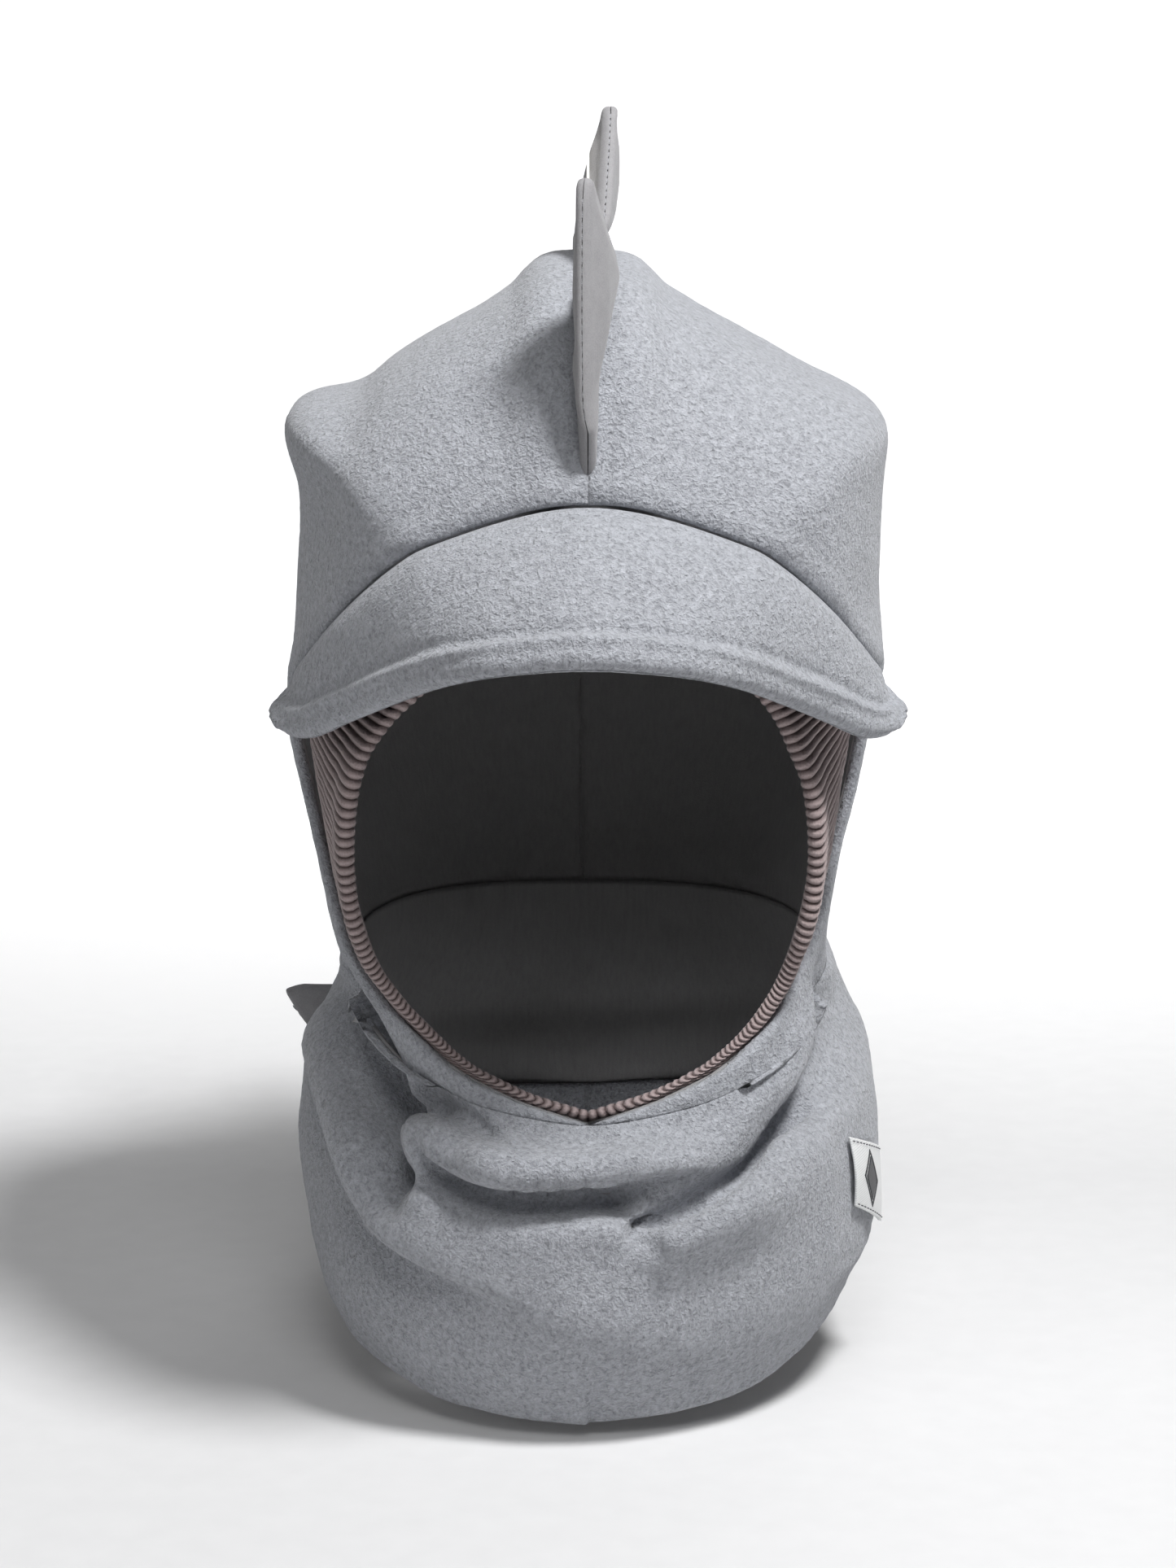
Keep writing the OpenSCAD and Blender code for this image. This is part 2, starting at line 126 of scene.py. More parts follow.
def noise(P, size, seed=1):
    """Smooth noise from -1 to 1 with lumps of the given size."""
    q = np.asarray(P, float) / size + 100.0
    i = np.floor(q).astype(np.int64)
    f = q - i
    f = f * f * f * (f * (f * 6 - 15) + 10)
    r = 0
    for a in (0, 1):
        for b in (0, 1):
            for c in (0, 1):
                w = (f[..., 0] if a else 1 - f[..., 0]) * (f[..., 1] if b else 1 - f[..., 1]) * (f[..., 2] if c else 1 - f[..., 2])
                r = r + w * _hash(i[..., 0] + a, i[..., 1] + b, i[..., 2] + c, seed)
    return r


def unit(v):
    return v / np.maximum(np.linalg.norm(v, axis=-1, keepdims=True), 1e-12)


def grid_normals(G, flip=False):
    """Normals of a grid of points."""
    du = np.gradient(G, axis=0)
    dv = np.gradient(G, axis=1)
    n = unit(np.cross(du, dv))
    return -n if flip else n


# ---------------------------------------------------------------- the shapes that the CAD source also has
HALF_W, FRONT, BACK, RIDGE = 90.0, 102.0, 100.0, 126.0
GS, GC = math.sin(math.radians(28.5)), math.cos(math.radians(28.5))
PN, CY, CZ, ZJ, SE = 2.6, 5.0, 20.0, 24.0, 71.0
SHELL, LINING, BAND_OFF = 2.6, 2.0, 5.6


def rad(ph, th, cp=34.0):
    p, t = np.radians(ph), np.radians(th)
    dx, dy, dz = np.abs(np.sin(p)) * np.cos(t), -np.cos(p) * np.cos(t), np.sin(t)
    # the gable is rounded off towards the forehead
    e = 0.035 + 0.20 * np.clip(-dy, 0, 1) ** 2
    g = np.maximum(0, (GS * (np.sqrt(dx * dx + e * e) - e) + GC * dz) / (GC * RIDGE))
    s = dx / HALF_W
    ly = np.where(dy < 0, FRONT, BACK)
    return ((g ** cp + s ** cp) ** (PN / cp) + (np.abs(dy) / ly) ** PN) ** (-1 / PN)


def hood_up(ph, th, off=0.0):
    r = rad(ph, th) - off
    p, t = np.radians(ph), np.radians(th)
    return np.stack([np.sin(p) * np.cos(t) * r, CY - np.cos(p) * np.cos(t) * r, CZ + np.sin(t) * r], -1)


WX = [[-110, .81], [-66, .825], [-45, .855], [-29, .89], [-13, .93], [5, .97], [24, 1]]
WF = [[-110, .95], [-60, .93], [0, .97], [24, 1]]
WB = [[-110, .76], [-66, .78], [-40, .86], [0, .96], [24, 1]]


def hood_low(ph, z, off=0.0):
    r = rad(ph, 0 * ph) - off
    p = np.radians(ph)
    c = np.cos(p)
    wy = np.where(c > 0, slut(z, WF, 4), slut(z, WB, 4))
    return np.stack([np.sin(p) * r * slut(z, WX, 4), CY - c * r * wy, z + 0 * r], -1)


def seam_th(ph):
    return np.where(ph >= SE, 2.5, 2.5 + 31 * np.maximum(np.cos(np.radians(np.minimum(ph, SE) * 90 / SE)), 0) ** 1.5)


EDGE = [[-98, 0], [-92, 14], [-84, 28], [-66, 48], [-56, 59], [-42, 68], [-30, 73], [-12, 75.5], [6, 75], [24, 71]]
NECK = [[-20, -98.2], [0, -98], [15, -95], [30, -90], [47, -80], [65, -71], [90, -66], [180, -66], [200, -66]]


def edge_ph(z):
    return lut(z, EDGE)


def neck_z(ph):
    return slut(ph, NECK, 5)


def drift(z):
    """The hood sits a little to the left round the cheeks."""
    return -2.6 * smooth(z, -80, -52) * (1 - smooth(z, 6, 30))


# ---------------------------------------------------------------- meshes
def piece(name, V, F, mat, attrs=None, level=0):
    me = bpy.data.meshes.new(name)
    V = np.asarray(V, float) * 0.001
    F = [f if isinstance(f, np.ndarray) else np.asarray(f) for f in F]
    me.vertices.add(len(V))
    me.vertices.foreach_set("co", V.ravel())
    counts = np.concatenate([np.full(len(f), f.shape[1]) for f in F])
    flat = np.concatenate([f.ravel() for f in F]).astype(np.int32)
    me.loops.add(len(flat))
    me.loops.foreach_set("vertex_index", flat)
    me.polygons.add(len(counts))
    me.polygons.foreach_set("loop_start", np.concatenate([[0], np.cumsum(counts)[:-1]]).astype(np.int32))
    me.polygons.foreach_set("use_smooth", np.ones(len(counts), bool))
    me.update(calc_edges=True)
    me.validate()
    for k, a in (attrs or {}).items():
        t = me.attributes.new(k, "FLOAT", "POINT")
        t.data.foreach_set("value", np.asarray(a, np.float32))
    me.materials.append(mat)
    o = bpy.data.objects.new(name, me)
    bpy.context.collection.objects.link(o)
    return o


def quads(nu, nv, base=0, wrap=False):
    """Quads of a grid with nu by nv cells; wrap joins the last column to the first."""
    i, j = np.meshgrid(np.arange(nu), np.arange(nv), indexing="ij")
    n = nv + 1
    i2 = (i + 1) % nu if wrap else i + 1
    return np.stack([i * n + j, i * n + j + 1, i2 * n + j + 1, i2 * n + j], -1).reshape(-1, 4) + base


def slab(outer, inner, bulge=0.0):
    """A closed sheet from two grids, with a rounded rim. outer's normals point along d/du x d/dv flipped as the grids are given."""
    nu, nv = outer.shape[0] - 1, outer.shape[1] - 1
    n = (nu + 1) * (nv + 1)
    loop = np.concatenate([np.arange(nv) + 0, np.arange(nu) * (nv + 1) + nv, nu * (nv + 1) + np.arange(nv, 0, -1), np.arange(nu, 0, -1) * (nv + 1)])
    inside = np.concatenate([(np.arange(nv)) + (nv + 1), np.arange(nu) * (nv + 1) + nv - 1, (nu - 1) * (nv + 1) + np.arange(nv, 0, -1), np.arange(nu, 0, -1) * (nv + 1) + 1])
    A, B = outer.reshape(-1, 3), inner.reshape(-1, 3)
    out = unit(A[loop] - A[inside])
    mid = (A[loop] + B[loop]) / 2 + out * bulge
    V = np.vstack([A, B, mid])
    q = quads(nu, nv)
    m = len(loop)
    k = np.arange(m)
    k2 = (k + 1) % m
    F = [q, q[:, ::-1] + n,
         np.stack([loop[k2], loop[k], 2 * n + k, 2 * n + k2], -1),
         np.stack([2 * n + k2, 2 * n + k, n + loop[k], n + loop[k2]], -1)]
    return V, F


def flip_faces(F):
    return [f[:, ::-1] for f in F]


def facing_out(V, F, centre):
    """Turns the faces so that the mesh's volume is positive."""
    vol = 0.0
    for f in F:
        a = V[f[:, 0]] - centre
        for k in range(1, f.shape[1] - 1):
            vol += np.einsum("ij,ij->i", a, np.cross(V[f[:, k]] - centre, V[f[:, k + 1]] - centre)).sum()
    return F if vol > 0 else flip_faces(F)


# ---------------------------------------------------------------- materials
def srgb(r, g, b, k=1.0):
    out = []
    for c in (r, g, b):
        c = c / 255
        out.append(min(1.0, (c / 12.92 if c <= 0.04045 else ((c + 0.055) / 1.055) ** 2.4) * k))
    return (*out, 1.0)


class Mat:
    """A procedural material under construction."""

    def __init__(self, name, colour, rough, sheen=0.0, sheen_rough=0.5, spec=0.3):
        self.m = bpy.data.materials.new(name)
        self.m.use_nodes = True
        self.t = self.m.node_tree
        self.b = self.t.nodes["Principled BSDF"]
        self.b.inputs["Base Color"].default_value = colour
        self.b.inputs["Roughness"].default_value = rough
        self.b.inputs["Sheen Weight"].default_value = sheen
        self.b.inputs["Sheen Roughness"].default_value = sheen_rough
        self.b.inputs["Specular IOR Level"].default_value = spec
        self.co = self.t.nodes.new("ShaderNodeTexCoord").outputs["Object"]
        self.normal = None

    def node(self, kind, **kw):
        n = self.t.nodes.new(kind)
        for k, v in kw.items():
            setattr(n, k, v)
        return n

    def link(self, a, b):
        self.t.links.new(a, b)

    def noise(self, scale, detail=2.0, rough=0.55, dist=0.0, vec=None):
        n = self.node("ShaderNodeTexNoise")
        n.inputs["Scale"].default_value = scale
        n.inputs["Detail"].default_value = detail
        n.inputs["Roughness"].default_value = rough
        n.inputs["Distortion"].default_value = dist
        self.link(vec or self.co, n.inputs["Vector"])
        return n.outputs["Fac"]

    def voronoi(self, scale, rnd=1.0, feature="F1", vec=None):
        n = self.node("ShaderNodeTexVoronoi", feature=feature)
        n.inputs["Scale"].default_value = scale
        n.inputs["Randomness"].default_value = rnd
        self.link(vec or self.co, n.inputs["Vector"])
        return n.outputs["Distance"]

    def stretch(self, x, y, z):
        n = self.node("ShaderNodeMapping")
        n.inputs["Scale"].default_value = (x, y, z)
        self.link(self.co, n.inputs["Vector"])
        return n.outputs["Vector"]

    def ramp(self, fac, stops):
        n = self.node("ShaderNodeValToRGB")
        while len(n.color_ramp.elements) < len(stops):
            n.color_ramp.elements.new(0.5)
        for e, (p, c) in zip(n.color_ramp.elements, stops):
            e.position = p
            e.color = c
        self.link(fac, n.inputs["Fac"])
        return n.outputs["Color"]

    def math(self, op, a, b=None, c=None):
        n = self.node("ShaderNodeMath", operation=op)
        for s, v in zip(n.inputs, (a, b, c)):
            if v is None:
                continue
            if isinstance(v, (int, float)):
                s.default_value = v
            else:
                self.link(v, s)
        return n.outputs[0]

    def mix(self, fac, a, b, mode="MIX"):
        n = self.node("ShaderNodeMix", data_type="RGBA", blend_type=mode)
        for s, v in ((n.inputs["Factor"], fac), (n.inputs["A"], a), (n.inputs["B"], b)):
            pass
        fs = [s for s in n.inputs if s.name == "Factor" and s.type == "VALUE"][0]
        sa = [s for s in n.inputs if s.name == "A" and s.type == "RGBA"][0]
        sb = [s for s in n.inputs if s.name == "B" and s.type == "RGBA"][0]
        for s, v in ((fs, fac), (sa, a), (sb, b)):
            if isinstance(v, (int, float, tuple)):
                s.default_value = v
            else:
                self.link(v, s)
        return [o for o in n.outputs if o.type == "RGBA"][0]

    def attr(self, name):
        return self.node("ShaderNodeAttribute", attribute_name=name).outputs["Fac"]

    def bump(self, height, strength, distance):
        n = self.node("ShaderNodeBump")
        n.inputs["Strength"].default_value = strength
        n.inputs["Distance"].default_value = distance
        self.link(height, n.inputs["Height"])
        if self.normal is not None:
            self.link(self.normal, n.inputs["Normal"])
        self.normal = n.outputs["Normal"]

    def done(self, colour=None, rough=None):
        if colour is not None:
            self.link(colour, self.b.inputs["Base Color"])
        if rough is not None:
            self.link(rough, self.b.inputs["Roughness"])
        if self.normal is not None:
            self.link(self.normal, self.b.inputs["Normal"])
        return self.m


def fleece_material(name, base, nap=1.0):
    """Brushed fleece: short pile in small clumps, paler at the tips and darker between them."""
    m = Mat(name, srgb(*base), 0.94, sheen=0.32, sheen_rough=0.45, spec=0.12)
    fine = m.noise(1350, 3, 0.62)
    clump = m.noise(640, 2.5, 0.6, 0.5)
    patch = m.noise(150, 3, 0.6)
    broad = m.noise(16, 2, 0.5)
    h = m.math("ADD", m.math("MULTIPLY", fine, 0.45), m.math("MULTIPLY", clump, 0.75))
    lo, mid, hi = srgb(*base, 0.60), srgb(*base, 0.98), srgb(*base, 1.30)
    tone = m.ramp(h, [(0.40, lo), (0.60, mid), (0.80, hi)])
    tone = m.mix(m.math("MULTIPLY", patch, 0.07), tone, srgb(*base, 1.18))
    tone = m.mix(m.math("MULTIPLY", broad, 0.10), tone, srgb(base[0] - 6, base[1], base[2] + 5, 0.92))
    m.bump(m.math("ADD", m.math("MULTIPLY", clump, 0.8), m.math("MULTIPLY", patch, 0.4)), 0.85 * nap, 0.0015)
    m.bump(fine, 0.8 * nap, 0.0009)
    rough = m.math("ADD", m.math("MULTIPLY", fine, 0.12), 0.86)
    return m.done(tone, rough)


def rib_material(name, base):
    """Rib knit: fine stitches on each rib, with painted shade that darkens the grooves between the ribs."""
    m = Mat(name, srgb(*base), 0.9, sheen=0.18, sheen_rough=0.4, spec=0.15)
    fibre = m.noise(2600, 2, 0.6)
    loops = m.voronoi(1150, 0.55)
    painted_groove_shade = m.attr("painted_groove_shade")
    tone = m.ramp(m.math("ADD", m.math("MULTIPLY", fibre, 0.6), m.math("MULTIPLY", loops, 0.4)),
                  [(0.25, srgb(*base, 0.82)), (0.55, srgb(*base)), (0.85, srgb(*base, 1.18))])
    # painted shade: the grooves between the ribs are darkened nearly to black
    tone = m.mix(m.math("MULTIPLY", painted_groove_shade, 0.96), tone, srgb(base[0] - 112, base[1] - 112, base[2] - 112))
    m.bump(loops, 0.5, 0.0004)
    m.bump(fibre, 0.35, 0.0003)
    return m.done(tone)


def felt_material(name, base):
    m = Mat(name, srgb(*base), 0.92, sheen=0.22, sheen_rough=0.4, spec=0.15)
    fine = m.noise(2400, 3, 0.65)
    mott = m.noise(330, 3, 0.6)
    tone = m.ramp(m.math("ADD", m.math("MULTIPLY", fine, 0.7), m.math("MULTIPLY", mott, 0.3)),
                  [(0.3, srgb(*base, 0.82)), (0.52, srgb(*base)), (0.8, srgb(*base, 1.16))])
    m.bump(m.math("ADD", m.math("MULTIPLY", fine, 0.7), m.math("MULTIPLY", mott, 0.5)), 0.5, 0.0004)
    return m.done(tone)


def jersey_material(name, base):
    """Plain knit of the lining, with fine upright wales."""
    m = Mat(name, srgb(*base), 0.9, sheen=0.15, spec=0.15)
    wales = m.noise(900, 2, 0.5, 0.0, m.stretch(1, 1, 0.10))
    fine = m.noise(1900, 2, 0.6)
    h = m.math("ADD", m.math("MULTIPLY", wales, 0.5), m.math("MULTIPLY", fine, 0.5))
    tone = m.ramp(h, [(0.2, srgb(*base, 0.8)), (0.55, srgb(*base)), (0.9, srgb(*base, 1.12))])
    m.bump(h, 0.5, 0.0005)
    return m.done(tone)


def thread_material(name, base):
    m = Mat(name, srgb(*base), 0.6, sheen=0.1, spec=0.35)
    twist = m.node("ShaderNodeTexWave", wave_type="BANDS", bands_direction="DIAGONAL")
    twist.inputs["Scale"].default_value = 900
    twist.inputs["Distortion"].default_value = 0.6
    m.link(m.co, twist.inputs["Vector"])
    tone = m.ramp(twist.outputs["Fac"], [(0.2, srgb(*base, 0.6)), (0.7, srgb(*base, 1.1))])
    m.bump(twist.outputs["Fac"], 0.5, 0.0002)
    return m.done(tone)


def tape_material(name, base):
    """Damask label: fine weft lines over a faint warp."""
    m = Mat(name, srgb(*base), 0.62, sheen=0.1, spec=0.3)
    weft = m.node("ShaderNodeTexWave", wave_type="BANDS", bands_direction="Z")
    weft.inputs["Scale"].default_value = 420
    weft.inputs["Distortion"].default_value = 0.4
    m.link(m.co, weft.inputs["Vector"])
    warp = m.node("ShaderNodeTexWave", wave_type="BANDS", bands_direction="Y")
    warp.inputs["Scale"].default_value = 520
    m.link(m.co, warp.inputs["Vector"])
    h = m.math("ADD", m.math("MULTIPLY", weft.outputs["Fac"], 0.6), m.math("MULTIPLY", warp.outputs["Fac"], 0.4))
    tone = m.ramp(h, [(0.1, srgb(*base, 0.84)), (0.6, srgb(*base)), (1.0, srgb(*base, 1.05))])
    m.bump(h, 0.45, 0.00025)
    return m.done(tone)


FLEECE = fleece_material("fleece_grey", (168, 170, 176))
FELT = felt_material("felt_grey", (150, 149, 151))
RIB = rib_material("rib_knit_mauve", (172, 157, 156))
JERSEY = jersey_material("jersey_grey", (150, 149, 150))
THREAD_DARK = thread_material("thread_dark", (74, 74, 80))
THREAD = thread_material("thread_pale", (176, 177, 182))
TAPE = tape_material("label_tape_white", (232, 233, 233))
INK = tape_material("label_mark_dark", (48, 49, 54))
CORE = felt_material("stiffener_white", (224, 222, 216))


# the hood's lower edge by azimuth, so the cowl meets it
_c = np.linspace(0, 1, 600)
_z = neck_z(180 * _c)
_ph = 180 * _c
_b = hood_low(_ph, _z)
_az = np.degrees(np.arctan2(_b[:, 0], CY - _b[:, 1]))
_az, _keep = np.unique(np.maximum.accumulate(_az), return_index=True)
_b = _b[_keep]


def hood_edge(ph):
    q = np.abs(np.where(ph > 180, 360 - ph, ph))
    p = np.stack([np.interp(q, _az, _b[:, k]) for k in range(3)], -1)
    p[..., 0] *= np.where((ph < 0) | (ph > 180), -1, 1)
    return p


_bn = np.cross(hood_low(_ph + 0.4, _z) - hood_low(_ph - 0.4, _z), hood_low(_ph, _z + 0.5) - hood_low(_ph, _z - 0.5))
_bn = unit(_bn)[_keep]
_bn = _bn * np.where((_bn * (_b - [0, CY, 0]) * [1, 1, 0]).sum(-1) < 0, -1, 1)[:, None]


def edge_z(ph):
    q = np.abs(np.where(ph > 180, 360 - ph, ph))
    return np.interp(q, _az, _b[:, 2])


# ---------------------------------------------------------------- folds
FOLDS = [
    # points in the front view, raised side, rise, reach, drop, reach below, overhang, half width of the wall, faded ends
    dict(n="E1", p=[(-76.0, -40.0), (-79.5, -56.1), (-83.2, -67.1), (-85.1, -78.0), (-83.4, -88.9), (-80.0, -99.8), (-75.5, -114.3), (-70.7, -127.7), (-64.0, -137.3), (-54.3, -145.2), (-42.2, -152.1), (-28.9, -158.2), (-10.7, -164.0)],
         side=-1, up=6.0, lu=9, dn=9.0, ld=14, ov=2.4, w=3.2, fade=(0.04, 0.45)),
    dict(n="E2", p=[(-76.1, -36.0), (-73.1, -48.9), (-70.1, -59.8), (-67.9, -67.7), (-65.0, -80.4), (-61.8, -89.5), (-58.0, -96.1), (-53.1, -99.8)],
         side=-1, up=4.5, lu=9, dn=14.0, ld=6.5, ov=3.8, w=3.2, fade=(0.12, 0.15)),
    dict(n="E3", p=[(-58.0, -70.7), (-51.9, -79.2), (-44.6, -88.3), (-34.9, -98.6), (-27.7, -106.4), (-21.6, -116.1)],
         side=-1, up=4.5, lu=10, dn=5.5, ld=12, ov=1.4, w=3.5, fade=(0.25, 0.25)),
    dict(n="E5", p=[(-53.1, -109.5), (-47.0, -114.3), (-39.8, -118.2), (-31.3, -121.6), (-21.6, -123.3), (-8.3, -123.0), (9.9, -121.0), (28.1, -118.8), (46.3, -116.5)],
         side=-1, up=5.5, lu=11, dn=13.5, ld=8, ov=3.8, w=3.2, fade=(0.10, 0.45)),
    dict(n="E6", p=[(14.8, -138.8), (19.0, -139.5), (25.1, -138.6), (34.2, -134.0), (43.9, -127.9), (53.6, -119.4), (60.8, -110.1), (69.3, -102.6), (76.6, -94.9)],
         side=1, up=5.0, lu=12, dn=12.0, ld=7, ov=3.4, w=3.0, fade=(0.12, 0.30)),
    dict(n="E7", p=[(71.1, -44.0), (71.1, -52.5), (70.8, -65.8), (68.3, -81.6), (62.6, -93.1), (57.2, -102.2), (50.5, -113.1), (40.2, -120.4)],
         side=1, up=3.5, lu=12, dn=7.0, ld=10, ov=2.0, w=3.2, fade=(0.25, 0.30)),
    dict(n="E4", p=[(-57.7, -134.9), (-58.4, -125.2), (-58.4, -119.2), (-57.1, -111.9), (-52.5, -104.9), (-44.6, -102.6), (-36.1, -104.6)],
         side=1, up=5.0, lu=9, dn=5.0, ld=7, ov=2.4, w=2.4, fade=(0.20, 0.25)),
]
LINES = [
    # plain ridges and valleys: height, half width
    dict(n="V2", p=[(-74.9, -40.0), (-71.9, -52.5), (-67.4, -70.7), (-63.0, -90.1), (-60.1, -102.2), (-59.3, -114.3), (-58.7, -126.4), (-58.0, -136.0)], h=-20.0, w=4.0, fade=(0.15, 0.2)),
    dict(n="R5", p=[(-56.7, -126.4), (-56.4, -119.2), (-54.6, -111.9), (-50.1, -107.7), (-44.0, -106.4), (-36.7, -109.5), (-28.9, -115.8), (-20.4, -119.8)], h=3.5, w=5.0, fade=(0.2, 0.3)),
    dict(n="V5", p=[(-1.0, -119.2), (6.3, -125.2), (12.3, -131.9), (18.5, -138.4)], h=-5.5, w=5.5, fade=(0.5, 0.05)),
    dict(n="P5", p=[(12.0, -137.0), (18.0, -139.5), (24.0, -138.5)], h=-6.5, w=4.5, fade=(0.4, 0.4)),
    dict(n="U1", p=[(-36.0, -154.0), (-15.5, -163.5), (-1.0, -168.5), (16.0, -169.7), (40.2, -163.6)], h=1.8, w=14.0, fade=(0.4, 0.4)),
    dict(n="W1", p=[(-20.0, -130.0), (0.0, -140.0), (20.0, -150.0), (45.0, -146.0), (62.0, -132.0)], h=-2.0, w=12.0, fade=(0.4, 0.4)),
]


def along(U, V, pts):
    """Signed distance from a line in the front view, the place along it from 0 to 1, and its local normal."""
    L = spline(pts, 60)
    D = np.full(U.shape, 1e9)
    S = np.zeros(U.shape)
    K = np.zeros(U.shape)
    NX = np.zeros(U.shape)
    NY = np.zeros(U.shape)
    for a in range(len(L) - 1):
        s, e = L[a], L[a + 1]
        d = e - s
        l2 = d @ d
        t = ((U - s[0]) * d[0] + (V - s[1]) * d[1]) / l2
        first, last = a == 0, a == len(L) - 2
        tc = np.clip(t, 0, 1)
        qx, qy = U - (s[0] + tc * d[0]), V - (s[1] + tc * d[1])
        dist = np.hypot(qx, qy)
        m = dist < D
        D = np.where(m, dist, D)
        side = np.where(d[0] * (V - s[1]) - d[1] * (U - s[0]) >= 0, 1.0, -1.0)
        S = np.where(m, side, S)
        over = np.where(first & (t < 0), t, 0) if first else (np.where(t > 1, t - 1, 0) if last else 0 * t)
        K = np.where(m, (a + tc + over * 1.0) / (len(L) - 1), K)
        ln = math.sqrt(l2)
        NX = np.where(m, -d[1] / ln, NX)
        NY = np.where(m, d[0] / ln, NY)
    return D * S, K, NX, NY


def fold_field(P, N, free):
    """Height and sideways shift of the cloth's folds, as they show from the front."""
    U, V = picture(P)
    seen = smooth(-(N @ FWD), 0.03, 0.30)
    h = np.zeros(U.shape)
    T = np.zeros(P.shape)
    tx = unit(RIGHT - N * (N @ RIGHT)[..., None])
    ty = unit(UP - N * (N @ UP)[..., None])
    for f in FOLDS:
        s, k, nx, ny = along(U, V, f["p"])
        sg = -f["side"]
        s = s * sg
        win = smooth(k, 0.0, max(f["fade"][0], 1e-3)) * (1 - smooth(k, 1 - f["fade"][1], 1.0)) * seen * free
        t = np.clip((s + f["w"]) / (2 * f["w"]), 0, 1)
        wall = t * t * (3 - 2 * t)
        upper = f["up"] * np.exp(-(np.maximum(s - f["w"], 0) / f["lu"]) ** 2)
        lower = -f["dn"] * np.exp(-(np.maximum(-s - f["w"], 0) / f["ld"]) ** 2)
        h += win * (lower + (upper - lower) * wall)
        ov = -f["ov"] * np.sin(2 * np.pi * (t - 0.5)) * win * (np.abs(s) < f["w"])
        T += (tx * (nx * sg)[..., None] + ty * (ny * sg)[..., None]) * ov[..., None]
    for f in LINES:
        s, k, nx, ny = along(U, V, f["p"])
        win = smooth(k, 0.0, f["fade"][0]) * (1 - smooth(k, 1 - f["fade"][1], 1.0)) * seen * free
        h += win * f["h"] * np.exp(-(s / f["w"]) ** 2)
    # beside the neck there is little room behind the cloth
    room = 5.5 + 18 * (1 - smooth(P[..., 2], -100, -72))
    # no overhang right at the neck seam
    gap = np.abs(P[..., 2] - edge_z(np.degrees(np.arctan2(np.abs(P[..., 0]), CY - P[..., 1]))))
    T = T * smooth(gap, 1.5, 10.0)[..., None]
    return np.where(h < 0, -room * np.tanh(-h / room), h), T


def fold_low(P, N, free, reach=5.5):
    """Lowest level of the folds round each point, for the layers beneath."""
    tx = unit(RIGHT - N * (N @ RIGHT)[..., None])
    ty = unit(UP - N * (N @ UP)[..., None])
    out = fold_field(P, N, free)[0]
    for k in range(8):
        a = k * math.pi / 4
        out = np.minimum(out, fold_field(P + (tx * math.cos(a) + ty * math.sin(a)) * reach, N, free)[0])
    return out


_fz = np.linspace(ZJ, -98, 90)
_face_line = hood_low(edge_ph(_fz), _fz)


def off_face(P):
    """Distance from the face edge, up to 16 mm. The folds die out towards it."""
    q = np.array(P, float)
    q[..., 0] = np.abs(q[..., 0])
    d = np.full(q.shape[:-1], 16.0)
    for a in _face_line[::2]:
        d = np.minimum(d, np.sqrt(((q - a) ** 2).sum(-1)))
    return d


# ---------------------------------------------------------------- hood
BUMP = [[0, 0.2], [3, 0.5], [6, 1.5], [9, 2.9], [12, 3.6], [15.5, 3.3], [19, 2.0], [23, 0.4], [28, 0]]
SAG_L = [[-100, 0.6], [-88, 0.3], [-79, -2.7], [-73, -3.8], [-68, -3.0], [-60, -0.8], [-50, 0], [100, 0]]
EAR_L = [[24, 0], [47, -2.4], [70, -3.4], [80, -2.6], [88, 0.4], [96, 2.6], [120, 3.0]]
EAR_R = [[24, 0], [47, -2.0], [68, -1.8], [84, -0.6], [94, 0.8], [120, 1.0]]


def hood_relief(P, N):
    """How the hood's fabric stands off the plain shape, in millimetres along its normal."""
    x, y, z = P[..., 0], P[..., 1], P[..., 2]
    crown = smooth(z, 52, 84)
    front = 1 - 0.55 * smooth(-y, 55, 92)
    d = slut(np.abs(x), BUMP, 1.3) * crown * front * (1 - 0.5 * smooth(y, 75, 100))
    mid_y = 1 - smooth(np.abs(y - 5), 55, 95)
    d = d + slut(x, SAG_L, 2.5) * crown * mid_y
    side = smooth(np.abs(x), 66, 82) * mid_y
    d = d + side * np.where(x < 0, slut(z, EAR_L, 3), slut(z, EAR_R, 3))
    # the soft hollows beside the first spike, and slack in the cloth
    d = d - 1.1 * np.exp(-(((np.abs(x) - 26) / 13) ** 2 + ((z - 108) / 16) ** 2)) * smooth(-y, 20, 70)
    d = d + 0.55 * noise(P, 38, 3) + 0.28 * noise(P, 17, 5)
    # crease that the end of the first spike pulls in the crown
    cx = np.exp(-((np.abs(x) - 7.5) / 6.0) ** 2) * smooth(-y, 82, 94)
    d = d + 0.8 * cx
    # pile
    d = d + 0.10 * noise(P, 2.4, 11) + 0.07 * noise(P, 1.3, 12)
    return d


def seam_groove(d, depth, width):
    """Depth of the dip where two layers are turned in at a seam, at distance d from it."""
    return -depth * np.exp(-np.abs(d) / width)


HN, HK, HM, HL = (200, 80, 96, 78)


